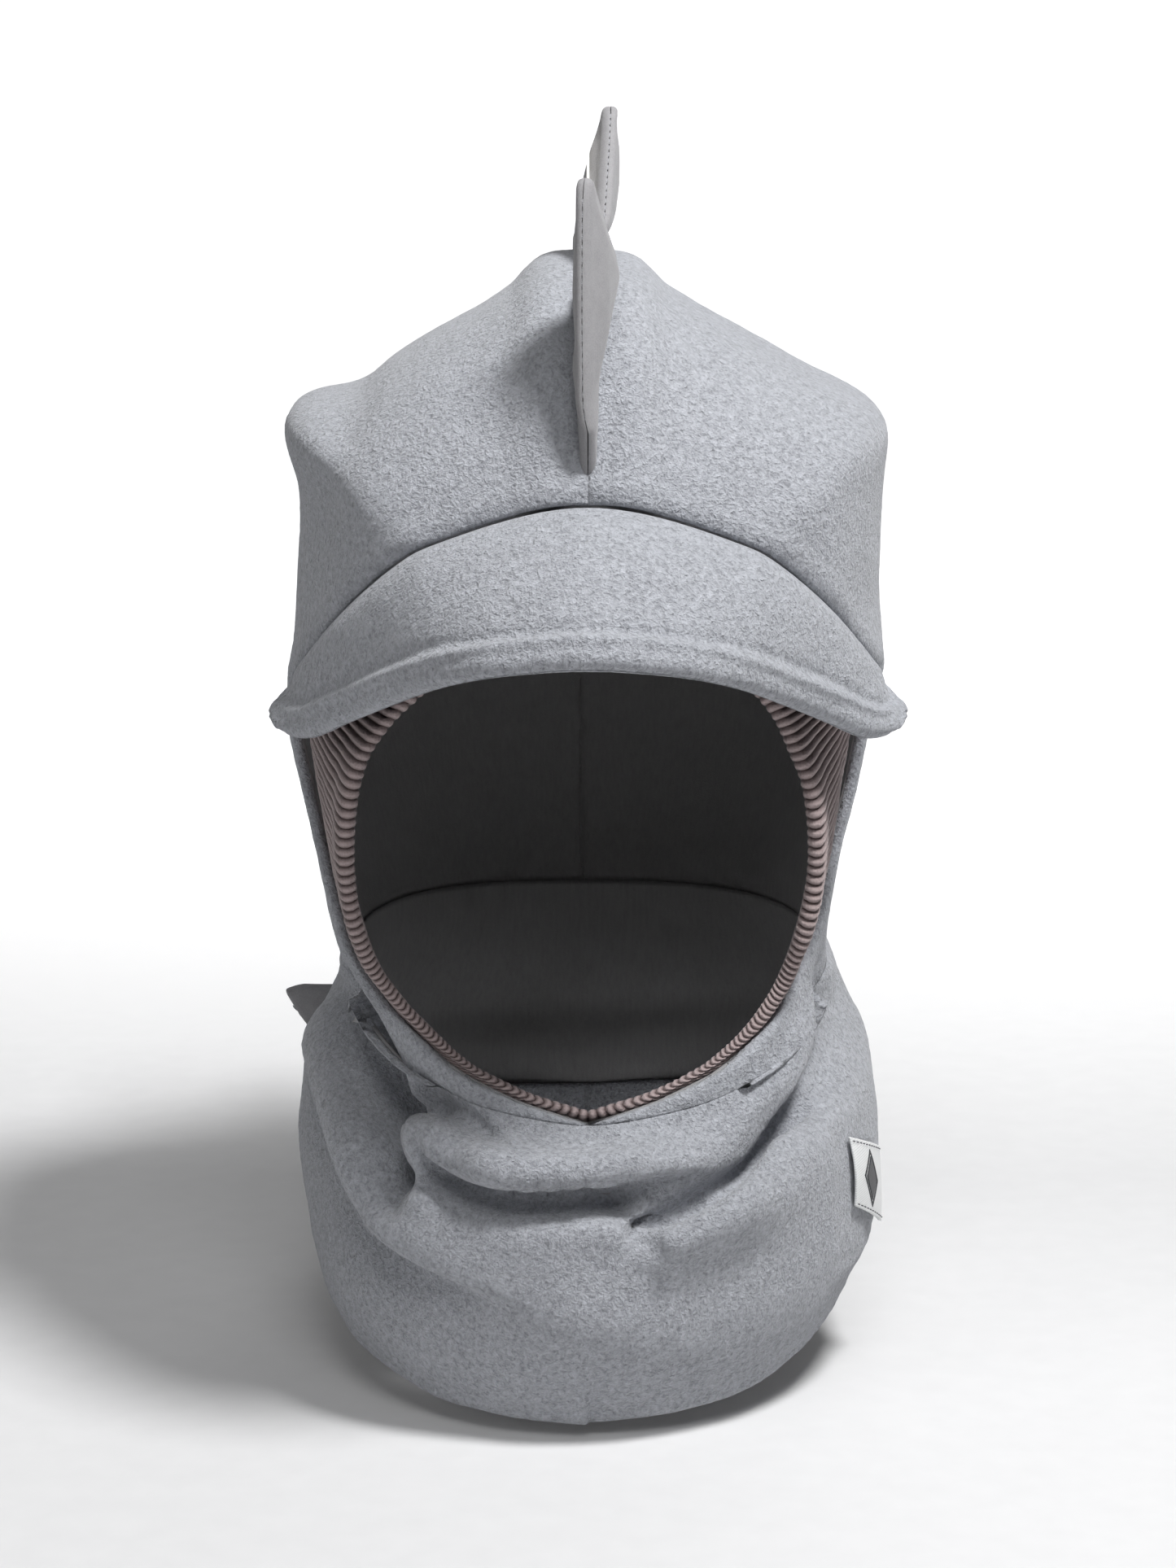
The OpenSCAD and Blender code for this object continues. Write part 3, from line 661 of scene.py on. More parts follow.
def half_grid(off, side, hn=HN, hk=HK, hm=HM, hl=HL):
    """The CAD's half hood on a finer grid. Returns points, quads and triangles, and the rim's loop."""
    j = np.arange(hn + 1)
    ph = np.where(j <= hk, SE * j / hk, SE + (180 - SE) * (j - hk) / (hn - hk))
    i = np.arange(1, hm + 1)[:, None] / hm
    th = 90 - (90 - seam_th(ph)[None]) * i ** 0.94
    up = hood_up(np.broadcast_to(ph, th.shape), th, off)
    w = np.arange(1, hl + 1)[:, None] / hl
    c = (j[hk:] - hk)[None] / (hn - hk)
    e = edge_ph(ZJ - w * (ZJ + 98))
    p2 = e + (180 - e) * c
    z2 = ZJ + (neck_z(180 * c) - ZJ) * w
    z2 = z2 + 0 * p2
    low = hood_low(p2, z2, off)
    # ease the crown into the side
    top = up[-1, hk:]
    low = low + (top - hood_low(np.broadcast_to(ph[hk:], top.shape[:1]), np.full(top.shape[:1], ZJ), off))[None] * np.exp(-(w[..., None] * 6) ** 2)
    V = np.vstack([np.array([[0, CY, CZ + RIDGE - off]]), up.reshape(-1, 3), low.reshape(-1, 3)])
    V[:, 0] *= side

    def hi(a, b):
        return 1 + (a - 1) * (hn + 1) + b

    def lo(a, b):
        return np.where(a == 0, hi(hm, b), 1 + hm * (hn + 1) + (a - 1) * (hn - hk + 1) + (b - hk))
    b = np.arange(hn)
    tri = np.stack([np.zeros(hn, int), hi(1, b + 1), hi(1, b)], -1)
    A, B = np.meshgrid(np.arange(1, hm), np.arange(hn), indexing="ij")
    q1 = np.stack([hi(A, B), hi(A, B + 1), hi(A + 1, B + 1), hi(A + 1, B)], -1).reshape(-1, 4)
    A, B = np.meshgrid(np.arange(hl), np.arange(hk, hn), indexing="ij")
    q2 = np.stack([lo(A, B), lo(A, B + 1), lo(A + 1, B + 1), lo(A + 1, B)], -1).reshape(-1, 4)
    front = [hi(a, 0) for a in range(hm - 1, 0, -1)]
    brim = [hi(hm, b_) for b_ in range(hk - 1, -1, -1)]
    face = [int(lo(np.array(a), np.array(hk))) for a in range(hl - 1, -1, -1)]
    neck = [int(lo(np.array(hl), np.array(b_))) for b_ in range(hn - 1, hk - 1, -1)]
    back = [int(lo(np.array(a), np.array(hn))) for a in range(1, hl + 1)]
    ridge_b = [hi(a, hn) for a in range(1, hm + 1)]
    loop = np.array([0] + ridge_b + back + neck + face + brim + front)
    return V, [q1, q2], tri, loop, dict(ridge=np.array([0] + front + ridge_b + back), brim=np.array(brim + [hi(hm, hk)]),
                                       face=np.array(face + [int(lo(np.array(hl), np.array(hk)))]), neck=np.array(neck + [back[-1]]))


def mesh_normals(V, F):
    n = np.zeros_like(V)
    for f in F:
        a = np.cross(V[f[:, 2]] - V[f[:, 0]], V[f[:, -1]] - V[f[:, 1]]) if f.shape[1] == 4 else np.cross(V[f[:, 1]] - V[f[:, 0]], V[f[:, 2]] - V[f[:, 0]])
        for k in range(f.shape[1]):
            np.add.at(n, f[:, k], a)
    return unit(n)


def near(V, pts, reach=12.0):
    """Distance from each vertex to the nearest of a row of points, up to reach."""
    out = np.full(len(V), reach)
    P = V[pts]
    for a in range(0, len(P) - 1):
        s, e = P[a], P[a + 1]
        d = e - s
        m = (np.abs(V - (s + e) / 2) < reach + np.linalg.norm(d)).all(1)
        if not m.any() or np.linalg.norm(d) < 1e-9:
            continue
        W = V[m] - s
        t = np.clip(W @ d / (d @ d), 0, 1)
        out[m] = np.minimum(out[m], np.linalg.norm(W - t[:, None] * d, axis=1))
    return out


def hood_half(name, side, off_a, off_b, mat, full=True):
    k = 1 if full else 2
    V, Q, T, loop, rows = half_grid(off_a, side, HN // k, HK // k, HM // k, HL // k)
    F = Q + [T]
    N = mesh_normals(V, F)
    if (N[:, 0] * side * (np.abs(V[:, 0]) > 40)).sum() < 0:
        N = -N
        flipped = True
    else:
        flipped = False
    on_ridge = np.abs(V[:, 0]) < 1e-6
    N[on_ridge, 0] = 0
    N = unit(N)
    d = hood_relief(V, N)
    if full:
        fr = smooth(-V[:, 1], 30, 80)
        d = d + seam_groove(near(V, rows["ridge"]), 1.2 - 0.5 * fr, 1.1)
        nb = near(V, rows["brim"]) + 0.5 * noise(V, 2.2, 15) + 0.3 * noise(V, 1.2, 16)
        d = d + seam_groove(nb, 0.6 + 0.5 * smooth(np.abs(V[:, 0]), 12, 60), 1.2) + 0.55 * np.exp(-((nb - 4.5) / 3.0) ** 2)
        d = d + seam_groove(near(V, rows["face"]), 1.2, 1.4)
    nape = 1 - smooth(V[:, 2], -62, -34)
    keep_off = smooth(off_face(V), 4, 14) * nape
    fh, fT = fold_field(V, N, keep_off)
    low = np.zeros(len(V))
    under = V[:, 2] < -25
    low[under] = np.minimum(fold_low(V[under], N[under], keep_off[under]), 0)
    if full:
        A = V + N * (d + fh)[:, None] + fT
    else:
        A = V + N * (d + low * 1.05 - 0.5)[:, None]
    B = V + N * (d + low * 1.05 - (off_b - off_a))[:, None]
    A[on_ridge, 0] = -0.10 * side
    B[on_ridge, 0] = -0.25 * side
    A[:, 0] += drift(A[:, 2])
    B[:, 0] += drift(B[:, 2])
    n = len(V)
    m = np.arange(len(loop))
    m2 = (m + 1) % len(loop)
    rim = np.stack([loop[m2], loop[m], loop[m] + n, loop[m2] + n], -1)
    faces = F + [f[:, ::-1] + n for f in F] + [rim]
    if flipped:
        faces = flip_faces(faces)
    W = np.vstack([A, B])
    o = piece(name, W, facing_out(W, faces, W.mean(0)), mat)
    return o


hood_l = hood_half("hood_fleece_left", -1, 0, SHELL, FLEECE)
hood_r = hood_half("hood_fleece_right", 1, 0, SHELL, FLEECE)
lin_l = hood_half("hood_jersey_left", -1, SHELL + 0.2, SHELL + LINING, JERSEY, False)
lin_r = hood_half("hood_jersey_right", 1, SHELL + 0.2, SHELL + LINING, JERSEY, False)
for o, n in ((hood_l, "hood_shell_left"), (hood_r, "hood_shell_right"), (lin_l, "hood_lining_left"), (lin_r, "hood_lining_right")):
    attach(o, "hood")
    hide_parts(n)


# ---------------------------------------------------------------- ribbed band round the face
FREE = [[0, -92, 52], [22, -90, 48], [40, -84, 36], [54, -77, 19], [62, -73, 3], [65, -72, -13], [65, -71, -30],
        [62, -71, -46], [55, -74, -60], [41, -80, -74], [22, -87, -85], [0, -91, -92]]


def band_sewn(u):
    """Sewn edge of half the band: along the peak's seam, then down the face edge."""
    a = np.minimum(u, 0.34) / 0.34 * SE
    top = hood_up(a, seam_th(a), BAND_OFF)
    z = ZJ + (-98 - ZJ) * np.clip((u - 0.34) / 0.66, 0, 1)
    low = hood_low(edge_ph(z), z, BAND_OFF)
    return np.where((u < 0.34)[:, None], top, low)


def band():
    per = 8
    ring = spline(FREE + [[-p[0], p[1], p[2]] for p in FREE[-2:0:-1]], 4001, closed=True)[:2001]
    # finer ribs lower down, where the band isn't stretched
    w_ = np.linspace(0, 1, 2001)
    half = np.linalg.norm(np.diff(ring, axis=0), axis=1).sum()
    pitch = 3.05 - 1.25 * smooth(w_, 0.36, 0.92)
    f_ = np.concatenate([[0], np.cumsum(half / 2000 / ((pitch[1:] + pitch[:-1]) / 2))])
    f_ *= round(f_[-1]) / f_[-1]
    nr = int(round(f_[-1]))
    nu = nr * per
    w = np.interp(np.linspace(0, nr, nu + 1), f_, w_)
    b = np.stack([np.interp(w, w_, ring[:, k]) for k in range(3)], -1)
    # the sewn edge is matched to the free edge by its own length
    s = band_sewn(np.linspace(0, 1, 1500))
    L = np.concatenate([[0], np.cumsum(np.linalg.norm(np.diff(s, axis=0), axis=1))])
    cw = np.array([0, 0.10, 0.20, 0.30, 0.36, 0.44, 0.52, 0.60, 0.70, 0.80, 0.90, 1.0])
    zb = np.interp(cw, w_, ring[:, 2]) + 8.0 * (1 - smooth(cw, 0.5, 0.95))
    cu = np.where(cw < 0.33, cw / 0.30 * 0.335, 0.34 + 0.66 * np.clip((ZJ - zb) / (ZJ + 98), 0.01, 1))
    cu[-1] = 1.0
    uu = np.interp(w, cw, np.maximum.accumulate(cu))
    uu = np.convolve(np.pad(uu, 25, "reflect", reflect_type="odd"), np.ones(51) / 51, "valid")
    a = band_sewn(np.clip(uu, 0, 1))
    a = np.apply_along_axis(lambda c: np.convolve(np.pad(c, 9, "reflect", reflect_type="odd"), np.ones(19) / 19, "valid"), 0, a)
    # narrow under the chin, where it hides behind the fleece
    kk = 1 - 0.62 * smooth(w, 0.60, 0.88)
    b = a + (b - a) * kk[:, None]
    A = np.vstack([a, (a[::-1] * [-1, 1, 1])[1:-1]])
    B = np.vstack([b, (b[::-1] * [-1, 1, 1])[1:-1]])
    W = np.concatenate([w, w[::-1][1:-1]])
    mid = smooth(B[:, 2], -92, -60) * (1 - smooth(B[:, 2], 18, 46))
    B[:, 0] += np.where(B[:, 0] < 0, -3.0, 4.0) * mid * smooth(np.abs(B[:, 0]), 20, 45)
    A[:, 0] += np.where(A[:, 0] < 0, -0.6, 0.6) * mid
    n = len(A)
    U = np.arange(n) / per                        # in ribs
    cross = unit(B - A)
    face = unit(np.cross(np.roll(B, -1, 0) - np.roll(B, 1, 0), cross))
    face = np.where((face @ FWD)[:, None] > 0, -face, face)
    # the profile: front face, rolled edge, back face
    vf = np.linspace(0, 1, 26)
    rows, phase, depth = [], [], []
    R = (2.0 - 0.9 * smooth(W, 0.60, 0.88))[:, None]
    sgn = np.where(np.arange(n) <= nu, 1.0, -1.0)
    turn = np.sin(np.linspace(0, 2 * np.pi, n, endpoint=False))
    bulge = (1.6 - 1.0 * smooth(W, 0.60, 0.88))[:, None]
    slant = 1.0 * (1 - 0.75 * smooth(W, 0.62, 0.9)) * np.minimum(1, np.abs(turn) * 4)

    def lean(v):
        # ribs run slanted from the sewn edge and swing square to the free edge
        return sgn * slant * (0.35 * (1 - v) ** 1.2 + 0.65 * (1 - smooth(v, 0.10, 0.85)))
    for v in vf:
        p = A + (B - A) * v + face * (bulge * np.sin(np.pi * v) ** 0.8 + 1.4 * smooth(v, 0.72, 1.0) * R / 2)
        rows.append(p)
        phase.append(U + lean(v))
        depth.append(np.full(n, 0.95 * smooth(v, 0.0, 0.06)))
    for k in range(1, 7):
        t = np.pi * k / 7
        p = B + face * (0.7 * R - R + R * math.cos(t)) + cross * R * math.sin(t)
        rows.append(p)
        phase.append(U.copy())
        depth.append(np.full(n, 0.85))
    for v in np.linspace(1, 0, 12):
        p = A + (B - A) * v + face * (bulge * np.sin(np.pi * v) ** 0.8 + 0.7 * R * smooth(v, 0.72, 1.0) - 2 * R * smooth(v, 0, 0.8) - 0.6)
        rows.append(p)
        phase.append(U + lean(v))
        depth.append(np.full(n, 0.4 * v))
    G = np.stack(rows, 1)
    G[..., 0] += drift(G[..., 2])
    PH = np.stack(phase, 1)
    D = np.stack(depth, 1) * (1 - 0.35 * smooth(W, 0.5, 0.9))[:, None]
    m = G.shape[1]
    Gn = np.roll(G, -1, 0) - np.roll(G, 1, 0)
    Gv = np.roll(G, -1, 1) - np.roll(G, 1, 1)
    Nn = unit(np.cross(Gn, Gv))
    if (Nn[:, 5] * face).sum() < 0:
        Nn = -Nn
    wave = np.abs(np.sin(np.pi * PH)) ** 0.8
    G = G + Nn * (D * (wave * 1.35 - 0.9))[..., None]
    G = G + Nn * (0.22 * noise(G, 9, 21) + 0.05 * noise(G, 0.9, 22))[..., None]
    i, j = np.meshgrid(np.arange(n), np.arange(m), indexing="ij")
    i2, j2 = (i + 1) % n, (j + 1) % m
    F = np.stack([i * m + j, i * m + j2, i2 * m + j2, i2 * m + j], -1).reshape(-1, 4)
    V = G.reshape(-1, 3)
    # painted shade in the grooves between the ribs: wide dark channels on the flat of the band, closed to thin lines on
    # the roll
    flat = np.concatenate([1 - smooth(vf, 0.70, 0.92), np.zeros(6), np.zeros(12)])[None] * (1 - smooth(W, 0.5, 0.8))[:, None]
    painted_groove_shade = (flat * (1 - smooth(wave, 0.25, 0.92)) + (1 - flat) * (1 - wave) ** 0.8) * (D > 0.2)
    nn = mesh_normals(V, [F])
    keep = (nn.reshape(n, m, 3)[:, 5] * face).sum() > 0
    return piece("face_band_rib", V, [F if keep else F[:, ::-1]], RIB, {"painted_groove_shade": painted_groove_shade.ravel()})


rib = band()
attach(rib, "hood")
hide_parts("face_band")


# ---------------------------------------------------------------- cowl
CW_HEM = [[-20, -186.8], [0, -187.2], [25, -184.4], [38, -179.5], [50, -173.5], [60, -167], [70, -159], [78, -150], [88, -146], [130, -150], [180, -152], [200, -151.6]]
CW_X = [[-184, 86], [-165, 91], [-141, 92], [-125, 91], [-100, 88], [-84, 81], [-66, 74.3]]
CW_F = [[-184, 110], [-150, 116], [-120, 117], [-108, 112], [-98, 98.5], [-90, 95.5], [-66, 94.9]]
CW_B = [[-154, 88], [-110, 85], [-84, 80], [-66, 78]]


def cowl_pt(ph, z, off=0.0):
    a = slut(z, CW_X, 3.5)
    p = np.radians(ph)
    c, s = np.cos(p), np.abs(np.sin(p))
    b = np.where(c > 0, slut(z, CW_F, 2.6), slut(z, CW_B, 4))
    n = np.where(c > 0, 2.1, 2.5)
    r = ((s / a) ** n + (np.abs(c) / b) ** n) ** (-1 / n) - off
    return np.stack([np.sin(p) * r, CY - c * r, z + 0 * r], -1)


def hood_edge_normal(ph):
    q = np.abs(np.where(ph > 180, 360 - ph, ph))
    return unit(np.stack([np.interp(q, _az, _bn[:, k]) for k in range(3)], -1))


def cowl_relief(P, N, ph):
    """Displacement of the cowl's cloth: its folds, slack at the sides and back, the tuck towards the hem, and pile."""
    label = smooth(ph, 43, 50) * (1 - smooth(ph, 70, 78)) * (P[..., 0] > 0) * smooth(P[..., 2], -158, -150) * (1 - smooth(P[..., 2], -108, -102))
    free = (1 - label) * smooth(off_face(P), 4, 14)
    h, T = fold_field(P, N, free)
    rear = smooth(ph, 80, 112)
    az = np.radians(np.where(P[..., 0] < 0, 360 - ph, ph))
    zz = P[..., 2]
    fall = smooth(-zz, 70, 105)
    h = h + rear * fall * (2.6 * np.sin(az * 5 + 0.045 * zz + 0.6) * smooth(-zz, 70, 140) + 2.4 * np.exp(-((zz + 104 + 7 * np.sin(az * 2 + 1)) / 8.0) ** 2) - 2.2 * np.exp(-((zz + 119 + 7 * np.sin(az * 2 + 1.2)) / 6.5) ** 2)) * free
    # the cloth turns under towards the hem
    up = np.clip((zz - slut(ph, CW_HEM, 4)) / 36.0, 0, 1)
    h = h - np.where(P[..., 0] < 0, 4.5, TUCK) * (1 - up) ** 2 * (1 - 0.5 * rear) * (1 - 0.6 * label)
    low = smooth(cowl_drop(P, ph), 0.5, 14.0)
    h = h + (0.7 * noise(P, 34, 31) + 0.35 * noise(P, 15, 32)) * free * low
    # beside the neck seam the cowl lies flush with the hood
    h = h + (hood_relief(P, N) - 0.10 * noise(P, 2.4, 11) - 0.07 * noise(P, 1.3, 12)) * (1 - low)
    h = h + 0.12 * noise(P, 2.4, 33) + 0.08 * noise(P, 1.3, 34)
    return N * h[..., None] + T


TUCK = 6.5


def cowl_drop(P, ph):
    return edge_z(ph) - P[..., 2]


def cowl_panel(name, q0, q1, off, thick, mat, hem, fine=True):
    """One panel: neck seam at the top, turned hem at the bottom. off and thick are its layer in the wall."""
    dz = (1.15 if fine else 2.2) * STEP
    nu = int(abs(q1 - q0) * 1.72 / dz)
    nv = int(100 / dz)
    q = np.linspace(q0, q1, nu + 1)[:, None]
    ph = np.abs(np.where(q > 180, 360 - q, q))
    sg = np.where((q < 0) | (q > 180), -1.0, 1.0)
    k = np.linspace(0, 1, nv + 1)[None]
    lift = (4.2 if hem else 7.5) - 3.5 * np.exp(-((ph - 62) / 20.0) ** 2)
    z0, z1 = edge_z(ph), slut(ph, CW_HEM, 4) + lift
    z = z0 + (z1 - z0) * k
    P = cowl_pt(ph + 0 * k, z)
    e = hood_edge(ph[:, 0])
    top = cowl_pt(ph[:, 0], z0[:, 0])
    P = P + (e - top)[:, None] * np.exp(-((z0 - z) / 9.0))[..., None] * np.array([1, 1, 0])
    P[..., 0] *= sg
    ph2 = ph + 0 * k
    N = grid_normals(P)
    mid = N[len(N) // 2, nv // 2]
    c = P[len(N) // 2, nv // 2] - [0, CY, P[len(N) // 2, nv // 2, 2]]
    if mid @ c < 0:
        N = -N
    Nh = hood_edge_normal(ph[:, 0])
    Nh[:, 0] *= sg[:, 0]
    wn = np.exp(-(((z0 - z) / 7.0) ** 2))[..., None]
    N = unit(N * (1 - wn) + Nh[:, None] * wn)
    D = cowl_relief(P, N, ph2)
    # seam down each side
    D = D + N * (seam_groove((ph2 - 90) * 1.6, 0.9, 1.3) * smooth(-z, 68, 80))[..., None]
    # inner layers follow the lowest level of the folds near them, so they never reach through an overhang
    hn = (D * N).sum(-1)
    w = max(2, int(5.0 / dz))
    low = hn.copy()
    for ax in (0, 1):
        pad = [(w, w) if a_ == ax else (0, 0) for a_ in (0, 1)]
        q_ = np.pad(low, pad, "edge")
        low = np.min([np.take(q_, np.arange(i, i + low.shape[ax]), axis=ax) for i in range(2 * w + 1)], axis=0)
    for ax in (0, 1):
        pad = [(w, w) if a_ == ax else (0, 0) for a_ in (0, 1)]
        q_ = np.pad(low, pad, "edge")
        low = np.mean([np.take(q_, np.arange(i, i + low.shape[ax]), axis=ax) for i in range(2 * w + 1)], axis=0)
    low = np.minimum(low, hn)
    A = P + D if off == 0 else P + N * (low - off)[..., None]
    B = P + N * (low - off - thick)[..., None]
    if hem:
        R = 4.2
        rowsA, rowsB = [], []
        a0 = A[:, -1]
        n0 = unit(N[:, -1] * [1, 1, 0.0])
        dn = np.array([0, 0, -1.0])
        wob = 0.4 * noise(a0, 11, 41)[:, None]
        b0 = ((A[:, -1] - B[:, -1]) * n0).sum(-1, keepdims=True) - 2.2
        for t in np.linspace(0, math.pi, 11)[1:]:
            cs, sn = math.cos(t), math.sin(t)
            rowsA.append(a0 - n0 * (R * (1 - cs)) + dn * (R + wob) * sn)
            rowsB.append(a0 - n0 * (R - (R - 2.2) * cs) + dn * ((R - 2.2) + wob) * sn - n0 * b0 * (1 - t / math.pi))
        last = rowsA[-1]
        lastB = rowsB[-1]
        for s in np.linspace(0, 12, 9)[1:]:
            rowsA.append(last - dn * s)
            rowsB.append(lastB - dn * s)
        A = np.concatenate([A, np.stack(rowsA, 1)], 1)
        B = np.concatenate([B, np.stack(rowsB, 1)], 1)
    V, F = slab(A, B, 0.0)
    V[:, 0] += drift(V[:, 2])
    return piece(name, V, facing_out(V, F, V.mean(0)), mat), A, P + D, N


cowl_f, _, cowl_skin, cowl_nrm = cowl_panel("cowl_fleece_front", -90, 90, 0.0, 2.2, FLEECE, True)
cowl_b, _, _, _ = cowl_panel("cowl_fleece_back", 90, 270, 0.0, 2.2, FLEECE, True)
cowl_lf, _, _, _ = cowl_panel("cowl_lining_cloth_front", -90, 90, 2.9, 1.8, JERSEY, False, False)
cowl_lb, _, _, _ = cowl_panel("cowl_lining_cloth_back", 90, 270, 2.9, 1.8, JERSEY, False, False)
for o, n, s in ((cowl_f, "cowl_front", "fleece"), (cowl_b, "cowl_back", "fleece"), (cowl_lf, "cowl_lining_front", "jersey_lining"), (cowl_lb, "cowl_lining_back", "jersey_lining")):
    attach(o, "hood")
    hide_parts(n)


# ---------------------------------------------------------------- peak
PE = [[0, -135, 44], [14, -133, 43], [28, -128, 40.5], [42, -115, 35], [55, -99, 27.5], [68, -83, 19.5], [81, -68, 12], [94, -51, 11]]
_edge = spline([[-p[0], p[1], p[2]] for p in PE[:0:-1]] + PE, 2001)
_ea = np.interp(np.linspace(-1, 1, 2001), np.linspace(-1, 1, 2001), np.linspace(-1, 1, 2001))
# place along the edge by the CAD's own parameter, so that both shapes agree
_cr = []
for i, p in enumerate([[-p[0], p[1], p[2]] for p in PE[:0:-1]] + PE):
    _cr.append((np.argmin(((_edge - np.array(p)) ** 2).sum(1)), (i - 7) / 7))
_ea = np.interp(np.arange(2001), [c[0] for c in _cr], [c[1] for c in _cr])


def peak_mid(a, b):
    q = np.abs(a)
    s = hood_up(SE * q, seam_th(SE * q))
    s[..., 0] *= np.sign(a)
    e = np.stack([np.interp(a, _ea, _edge[:, k]) for k in range(3)], -1)
    arch = np.array([0, -.55, .83]) * (4 * np.sin(np.pi * np.clip(b, 0, 1)) * (1 - .5 * q))[..., None]
    return s + (e - s) * b[..., None] + arch


def peak():
    na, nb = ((300, 74))
    a = (np.sin(np.linspace(-1, 1, na + 1) * np.pi / 2 * 0.86) / np.sin(np.pi / 2 * 0.86))[:, None]
    t = np.linspace(0, 1, nb + 1)[None]
    b = 1 - (1 - t) ** 1.5
    a2, b2 = a + 0 * b, b + 0 * a
    M = peak_mid(a2, b2)
    # the ends hug the hood above and swell into a round tip
    inward = smooth(np.abs(a2), 0.84, 1.0)
    M = M.copy()
    M[..., 0] -= np.sign(a2) * inward * (4.2 * (1 - smooth(b2, 0.30, 0.80)) + 1.6 * smooth(b2, 0.86, 1.0))
    M[..., 2] += inward * 2.2 * smooth(b2, 0.80, 1.0) * smooth(np.abs(a2), 0.93, 1.0)
    N = grid_normals(M)
    if (N[na // 2, nb // 2] @ np.array([0, -.5, .8])) < 0:
        N = -N
    length = np.linalg.norm(peak_mid(a2, 0 * b2 + 1.0) - peak_mid(a2, 0 * b2), axis=-1)
    d = (1 - b2) * length                 # from the free edge
    g = b2 * length                       # from the seam
    tip = (1 - np.abs(a2)) * 150.0        # from the ends
    H = 3.3
    rim = np.minimum(d, tip)
    round_ = np.sqrt(np.clip(1 - (1 - np.clip(rim / 4.2, 0, 1)) ** 2, 0, 1))
    line = 8.2 + 0.9 * np.abs(a2)
    step = smooth(line - d, -1.6, 1.2)
    calm = smooth(tip, 4, 22)
    ridge = calm * 0.95 * np.exp(-((d - line + 1.0) / 1.7) ** 2) - calm * 0.55 * np.exp(-((d - line - 2.4) / 1.6) ** 2)
    soft = 0.45 * noise(M, 26, 51) + 0.22 * noise(M, 11, 52)
    pile = 0.10 * noise(M, 2.2, 53) + 0.08 * noise(M, 1.2, 54)
    up = (H * (0.80 + 0.1 * b2) + 0.55 * step + ridge) * round_ + (soft + pile) * np.clip(round_ + 0.25, 0, 1)
    dn = (H * (0.80 + 0.1 * b2) + 0.35 * step + 0.4 * ridge) * round_ + (0.5 * soft + pile) * np.clip(round_ + 0.25, 0, 1)
    # the upper layer dives into the crown seam
    dive = np.exp(-(g / 3.2) ** 1.3)
    up = up * (1 - calm * np.exp(-(g / 4.0))) - 1.3 * dive * calm
    A = M + N * up[..., None]
    B = M - N * dn[..., None]
    # fuller right at the edge
    A[:, -1] = B[:, -1] = (A[:, -1] + B[:, -1]) / 2
    V, F = slab(A, B, 0.0)
    o = piece("peak_fleece", V, facing_out(V, F, V.mean(0)), FLEECE)
    return o, a2, b2, M, N, up


pk, pa, pb, pM, pN, pup = peak()
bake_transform(pk)
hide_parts("brim_upper", "brim_lower", "brim_stiffener", "brim_seam_allowance")


# ---------------------------------------------------------------- spikes
FL, FH = 58.0, 43.0
SPIKE_Q = [(39, 70), (73, 102), (105, 134), (137, 168)]


def ridge_pt(q):
    p = hood_up(np.array([0.0]), np.array([q]))[0] if q <= 90 else hood_up(np.array([180.0]), np.array([180.0 - q]))[0]
    return np.array([0, p[1], p[2]])


def spike_frame(k):
    a, b = ridge_pt(SPIKE_Q[k][0]), ridge_pt(SPIKE_Q[k][1])
    e = unit(b - a)
    n = np.array([0, -e[2], e[1]])
    qs = np.arange(SPIKE_Q[k][0] - 4, SPIKE_Q[k][1] + 5, 0.5)
    R = np.array([ridge_pt(q) for q in qs])
    t, h = (R - a) @ e, (R - a) @ n
    inside = (qs >= SPIKE_Q[k][0]) & (qs <= SPIKE_Q[k][1])
    rise = h[inside].max()
    return a + n * (rise + 3.1), e, n, (t, h - rise - 3.1)


def fin_lead(v):
    return FL * 0.90 * np.maximum(v, 0) ** 1.12


def fin_trail(v):
    return FL * (1 - 0.02 * np.sin(np.pi * np.clip(v, 0, 1)) - 0.01 * v)


